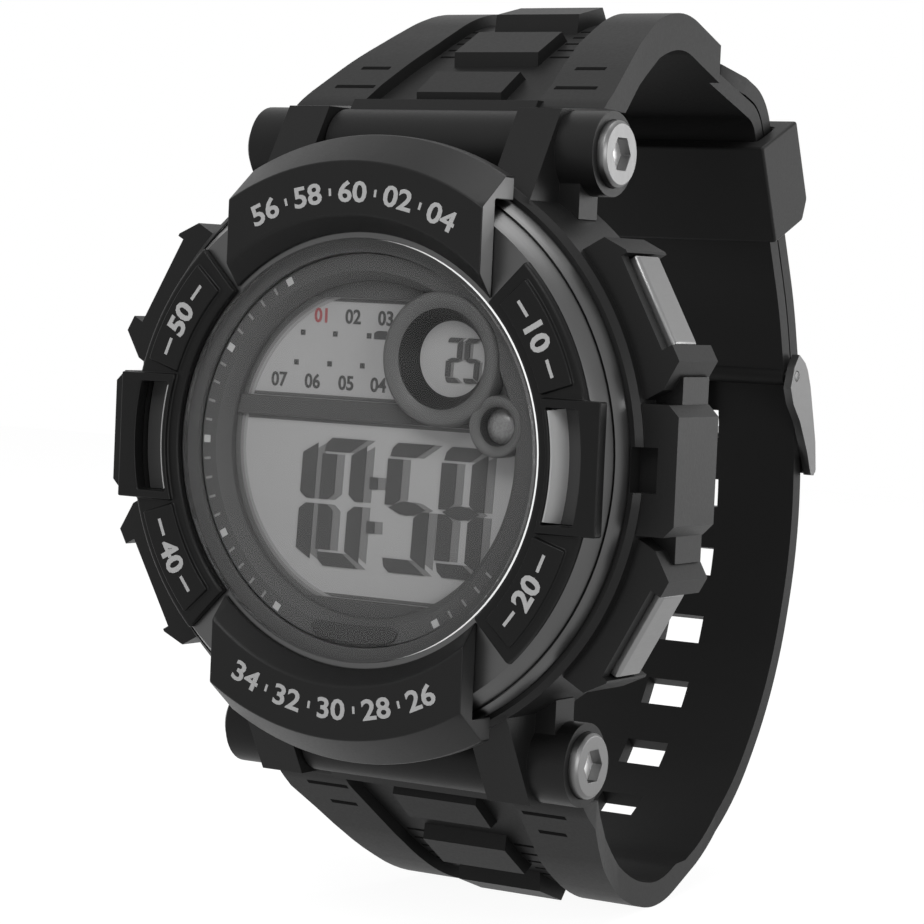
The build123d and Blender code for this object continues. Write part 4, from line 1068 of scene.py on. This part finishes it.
@dataclass
class Bezel:
    """Ring, plates and side covers round the glass, with their printed numbers."""

    plate_print: PrintRing = PrintRing(21.0, 15.5, 1.65, 1.2, 0.05, (0.11, 0.3))
    plate_angles: tuple = (("top", (-24, -12, 0, 12, 24)), ("bottom", (156, 168, 180, 192, 204)))
    label_print: PrintRing = PrintRing(20.05, 14.6, 1.7, 1.15, 0.08, (0.75, 0.14))
    label_angles: tuple = (("10", 60), ("20", 120), ("40", 240), ("50", 300))
    label_bar_angle: float = 7.6
    cover_edge: float = 0.15
    slot_edge: float = 0.05
    plate_edge: float = 0.3
    wall_steps: int = 24
    wall_half_angle: float = 13.3
    wall_profile: tuple = (
        (18.93, 12.92), (19.75, 12.92), (19.7, 13.0), (19.08, 14.5), (18.93, 14.5),
    )
    end_facing: float = 0.97
    ring_reach: float = 0.07
    ring_slope: tuple = (
        ((23.2, 12.8), (23.24, 12.1)), ((23.2, 12.5), (23.24, 11.8)),
        ((23.5, 12.8), (23.4, 12.05)), ((23.5, 12.5), (23.4, 11.8)),
        ((23.65, 12.8), (23.5, 11.85)), ((23.9, 12.55), (23.9, 10.9)),
    )

    def build(self) -> None:
        """Dresses the bezel's nodes and prints the minute numbers."""
        dress_node("side_cover_right", self.cover_edge, COVER_RESIN)
        dress_node("side_cover_left", self.cover_edge, COVER_RESIN)
        dress_node("slot_floors", self.slot_edge, SLOT_GREY)
        # End faces get painted light: a painted highlight on the upper plate, painted shade on the
        # lower one
        for node, ends in (("bezel_plate_top", PLATE_END_HIGHLIGHT), ("bezel_plate_bottom", LOWER_END_SHADE)):
            plate = softened(copied_node(node), self.plate_edge, PLATE_RESIN)
            plate.data.materials.append(ends.build())
            for face in plate.data.polygons:
                if abs(face.normal.x) > self.end_facing:
                    face.material_index = 1
            stands_for(plate, node)
        self._ring()
        self._slot_walls()
        self._minute_numbers()
        self._side_numbers()

    def _ring(self) -> None:
        """Dresses a copy of the ring whose outer face slopes down in two bands."""
        ring = copied_node("bezel_ring", cleared=False)
        for vertex in ring.data.vertices:
            radius = math.hypot(vertex.co.x, vertex.co.z) / MM
            depth = -vertex.co.y / MM
            for (old_radius, old_depth), (new_radius, new_depth) in self.ring_slope:
                if max(abs(radius - old_radius), abs(depth - old_depth)) < self.ring_reach:
                    vertex.co.x *= new_radius / radius
                    vertex.co.z *= new_radius / radius
                    vertex.co.y = -new_depth * MM
        stands_for(dressed(ring, RING_METAL), "bezel_ring")

    def _slot_walls(self) -> None:
        """Turns the bright sloping inner walls of the two side slots."""
        walls = []
        for angle in (90, 270):
            wall = turned("slot_wall", self.wall_profile, DIAL_CENTRE, self.wall_steps,
                          angle - self.wall_half_angle, 2 * self.wall_half_angle)
            walls.append(dressed(wall, SLOT_SILVER))
        stands_for(joined("slot_walls", walls), "slot_trims")

    def _minute_numbers(self) -> None:
        """Prints minute numbers and dots along both plates."""
        for plate, angles in self.plate_angles:
            pieces = [self.plate_print.number(f"{angle // MINUTE_ANGLE % 60 or 60:02d}", angle)
                      for angle in angles]
            pieces += [self.plate_print.mark((angle + following) / 2)
                       for angle, following in zip(angles, angles[1:])]
            marks = joined(f"minute_numbers_{plate}", pieces)
            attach(marks, "watch")

    def _side_numbers(self) -> None:
        """Prints a number with a bar each side on the four label panels."""
        for text, angle in self.label_angles:
            pieces = [self.label_print.number(text, angle)]
            pieces += [self.label_print.mark(angle + side * self.label_bar_angle)
                       for side in (-1, 1)]
            marks = joined(f"side_number_{text}", pieces)
            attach(marks, "watch")


# Case, buttons, screws, strap and buckle


@dataclass
class CaseBody:
    """Case middle and case back."""

    edge: float = 0.3
    back_edge: float = 0.08

    def build(self) -> None:
        """Dresses the case nodes."""
        dress_node("case_middle", self.edge, CASE_RESIN)
        dress_node("case_back", self.back_edge, STEEL_SATIN)
        dress_node("case_back_screws", self.back_edge, STEEL_SATIN)


@dataclass
class Buttons:
    """The four push buttons with their springs, and the screws at the lugs."""

    button_edge: float = 0.12
    screw_edge: float = 0.15
    rim_depth: float = 0.15
    socket_depth: float = 1.6
    socket_reach: float = 1.25

    def build(self) -> None:
        """Dresses the buttons, the lug screws and the springs."""
        for hour in ("2h", "4h", "8h", "10h"):
            dress_node(f"button_{hour}", self.button_edge, BUTTON_METAL)
        self._screws()
        self._springs()

    def _screws(self) -> None:
        """Dresses the lug screws, with a painted highlight inside their sockets."""
        screws = softened(copied_node("lug_screws"), self.screw_edge, SCREW_STEEL)
        screws.data.materials.append(SOCKET_GLINT.build())
        corners = [vertex.co for vertex in screws.data.vertices]
        head = max(corner.x for corner in corners)
        upper = [corner for corner in corners if corner.z > 0]
        middle_y = middle([corner.y for corner in upper])
        middle_z = middle([corner.z for corner in upper])
        for face in screws.data.polygons:
            depth = head - abs(face.center.x)
            reach = math.hypot(face.center.y - middle_y, abs(face.center.z) - middle_z)
            inside = self.rim_depth * MM < depth < self.socket_depth * MM
            if inside and reach < self.socket_reach * MM:
                face.material_index = 1
        stands_for(screws, "lug_screws")

    def _springs(self) -> None:
        """Dresses each button's return spring and gives it a mesh of its own."""
        for joint in frame["record"]["behaviour"]["joints"]:
            if not joint["child"].startswith("button_"):
                continue
            node = joint["child"].replace("button_", "button_spring_")
            spring = dressed(copied_node(node, cleared=False), SPRING_STEEL)
            stands_for(spring, node)
            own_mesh(spring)


@dataclass
class Strap:
    """Both strap halves, the keeper and the buckle, with painted shade for their moulded grooves.
    """

    resin_edge: float = 0.4
    frame_edge: float = 0.12
    prong_edge: float = 0.1
    pin_edge: float = 0.05
    dash_width: float = 0.48
    dashes: tuple = (
        ("strap_upper", 1, ((0.7, 9.0, 13.0), (3.5, 9.3, 12.2))),
        ("strap_lower", -1, ((0.95, 8.9, 13.1), (3.2, 9.3, 12.0))),
    )
    rib_width: float = 0.3
    rib_start: float = 7.6
    rib_step: float = 1.3
    rib_count: int = 5
    rib_inner: float = 4.35
    rib_outer: float = 6.7

    def build(self) -> None:
        """Dresses the strap, keeper and buckle nodes."""
        for node in ("strap_upper", "strap_lower", "keeper"):
            dress_node(node, self.resin_edge, STRAP_RESIN)
        dress_node("buckle_frame", self.frame_edge, STEEL_SATIN)
        dress_node("buckle_prong", self.prong_edge, STEEL_SATIN)
        dress_node("buckle_pin", self.pin_edge, STEEL_SATIN)
        self._groove_shades()

    def _groove_shades(self) -> None:
        """Draws dashes and fine ribs of painted groove shade on both shoulders, on the strap's own
        surface.
        """
        for node, half, dashes in self.dashes:
            surface = Surface(node, half)
            strips = []
            for side in (-1, 1):
                for y, start, end in dashes:
                    strips.append(surface.strip(y, side * start, side * end, self.dash_width))
                for number in range(self.rib_count):
                    y = self.rib_start + number * self.rib_step
                    strips.append(surface.strip(y, side * self.rib_inner, side * self.rib_outer,
                                                self.rib_width))
            grooves = joined(f"{node}_groove_shades", strips)
            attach(grooves, frame["nodes"][node]["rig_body"])


class Surface:
    """Outer surface of a strap half, found by looking straight down on it."""

    above: float = 80.0
    lift: float = 0.02
    sunk: float = 0.1

    def __init__(self, node: str, half: int) -> None:
        """Reads the CAD node's surface.

        Args:
            node: The strap half.
            half: 1 for the upper half and -1 for the lower one.
        """
        work = bmesh.new()
        work.from_mesh(frame["nodes"][node].data)
        self.tree = BVHTree.FromBMesh(work)
        work.free()
        self.half = half

    def strip(self, y: float, start: float, end: float, width: float) -> Object:
        """Lays one strip of painted groove shade across the strap.

        Args:
            y: Where it lies, mm behind the case back's face.
            start: Where it starts along X, mm.
            end: Where it ends along X, mm.
            width: Its width, mm.

        Returns:
            The strip as an object.
        """
        spots = []
        for x in (min(start, end), max(start, end)):
            place = Vector((x, y, self.half * self.above)) * MM
            hit, normal, _, _ = self.tree.ray_cast(place, Vector((0, 0, -self.half)))
            spots.append((hit / MM + normal * self.lift, normal))
        (left, normal), (right, _) = spots
        along = normal.cross(Vector((1, 0, 0))).normalized() * width / 2
        top = [left - along, right - along, right + along, left + along]
        points = top + [point - normal * self.sunk for point in top]
        faces = [(0, 1, 2, 3), (7, 6, 5, 4), (0, 4, 5, 1), (1, 5, 6, 2), (2, 6, 7, 3), (3, 7, 4, 0)]
        return dressed(solid("groove", points, faces), GROOVE_SHADE)


# Studio


@dataclass
class Studio:
    """Camera, lamps, floor and world."""

    azimuth: float = 31.533
    elevation: float = 3.232
    roll: float = 2.525
    place: tuple[float, float, float] = (142.4998, -229.0461, 14.0465)
    sensor: float = 36.0
    clip: tuple[float, float] = (0.01, 10.0)
    focal_px: float = 3171.42
    image_px: float = 924.0
    lamps: tuple = (
        ("rim_lamp", (360, 400, 60), (0, 10, 0), 260, 1.0),
        ("side_lamp", (420, -200, 60), (0, 0, 0), 200, 0.7),
        ("front_lamp", (60, -400, 400), (0, 0, 0), 260, 1.5),
        ("top_lamp", (60, 120, 480), (0, 10, 0), 240, 0.7),
    )
    first_bounce: float = 0.5
    world_dim: float = 0.22
    world_bright: float = 1.0
    floor_reach: float = 600.0
    floor_drop: float = 0.02
    floor_tone: float = 0.9
    floor_glow: float = 1.15
    white_share: float = 0.82

    def camera(self) -> None:
        """Sets the camera at the photograph's viewing angle."""
        turn = (Matrix.Rotation(math.radians(self.azimuth), 4, "Z")
                @ Matrix.Rotation(math.radians(90 - self.elevation), 4, "X")
                @ Matrix.Rotation(math.radians(self.roll), 4, "Z"))
        data = bpy.data.cameras.new("photo_camera")
        data.sensor_width = self.sensor
        data.lens = self.sensor * self.focal_px / self.image_px
        data.clip_start, data.clip_end = self.clip
        camera = new_object("photo_camera", data)
        camera.matrix_world = Matrix.Translation(Vector(self.place) * MM) @ turn
        bpy.context.scene.camera = camera

    def lamp(self, name: str, place: tuple, target: tuple, size: float, power: float) -> None:
        """Adds one soft square lamp.

        Args:
            name: The lamp's name.
            place: Where it hangs, mm.
            target: What it points at, mm.
            size: Its width, mm.
            power: Its power, watts.
        """
        data = bpy.data.lights.new(name, "AREA")
        data.size = size * MM
        data.energy = power
        lamp = new_object(name, data)
        lamp.location = Vector(place) * MM
        lamp.rotation_euler = (Vector(target) - Vector(place)).to_track_quat("-Z", "Y").to_euler()

    def world(self) -> None:
        """Lights the scene from a pale world that shows white behind the object."""
        world = bpy.data.worlds.new("studio_world")
        bpy.context.scene.world = world
        tree = cleared_tree(world)
        path = add_node(tree, "ShaderNodeLightPath", {})
        first = add_node(tree, "ShaderNodeMath", {
            0: path.outputs["Diffuse Depth"], 1: self.first_bounce,
        }, operation="LESS_THAN")
        direct = add_node(tree, "ShaderNodeMath", {
            0: seen_by(tree, "Camera", "Transmission", "Glossy"), 1: first.outputs[0],
        }, operation="MULTIPLY")
        strength = add_node(tree, "ShaderNodeMapRange", {
            "Value": direct.outputs[0], "To Min": self.world_dim, "To Max": self.world_bright,
        })
        light = add_node(tree, "ShaderNodeBackground", {
            "Color": (1.0, 1.0, 1.0, 1.0), "Strength": strength.outputs["Result"],
        })
        add_node(tree, "ShaderNodeOutputWorld", {"Surface": light.outputs[0]})

    def floor(self, low: float) -> None:
        """Lays a pale floor under the object.

        Args:
            low: The object's lowest height, m.
        """
        level = low / MM - self.floor_drop
        corners = rectangle(0, 0, self.floor_reach, self.floor_reach)
        floor = solid("floor", [(x, y, level) for x, y in corners], [(0, 1, 2, 3)])
        material = bpy.data.materials.new("pale_floor")
        tree = cleared_tree(material)
        grey = (self.floor_tone, self.floor_tone, self.floor_tone, 1.0)
        matte = add_node(tree, "ShaderNodeBsdfDiffuse", {"Color": grey})
        white = add_node(tree, "ShaderNodeEmission", {
            "Color": (1.0, 1.0, 1.0, 1.0), "Strength": self.floor_glow,
        })
        share = add_node(tree, "ShaderNodeMath", {
            0: seen_by(tree, "Camera", "Transmission", "Glossy"), 1: self.white_share,
        }, operation="MULTIPLY")
        mixed = add_node(tree, "ShaderNodeMixShader", {
            0: share.outputs[0], 1: matte.outputs[0], 2: white.outputs[0],
        })
        add_node(tree, "ShaderNodeOutputMaterial", {"Surface": mixed.outputs[0]})
        floor.data.materials.append(material)
        floor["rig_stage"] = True

    def build(self, low: float) -> None:
        """Builds the whole studio.

        Args:
            low: The object's lowest height, m.
        """
        self.camera()
        self.world()
        for lamp in self.lamps:
            self.lamp(*lamp)
        self.floor(low)
        bpy.context.scene.view_settings.view_transform = "Standard"
        LOG.info("studio built")


def dress_plain_nodes() -> None:
    """Gives every CAD node its own finish, which shows where no dressed piece replaces it."""
    slots = node_slots()
    for name, node in frame["nodes"].items():
        finish = DIAL_GREY if name == "glass_gasket" else SLOT_FINISHES[slots[name]]
        node.data.materials.clear()
        node.data.materials.append(finish.build())


def main() -> None:
    """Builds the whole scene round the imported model."""
    logging.basicConfig(level=logging.INFO, format="%(message)s")
    cad_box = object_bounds()
    Studio().build(cad_box[0][2])
    dress_plain_nodes()
    for assembly in (Dial(), Display(), Bezel(), CaseBody(), Buttons(), Strap()):
        assembly.build()
        LOG.info("%s built", type(assembly).__name__)


if __name__ == "__main__":
    main()
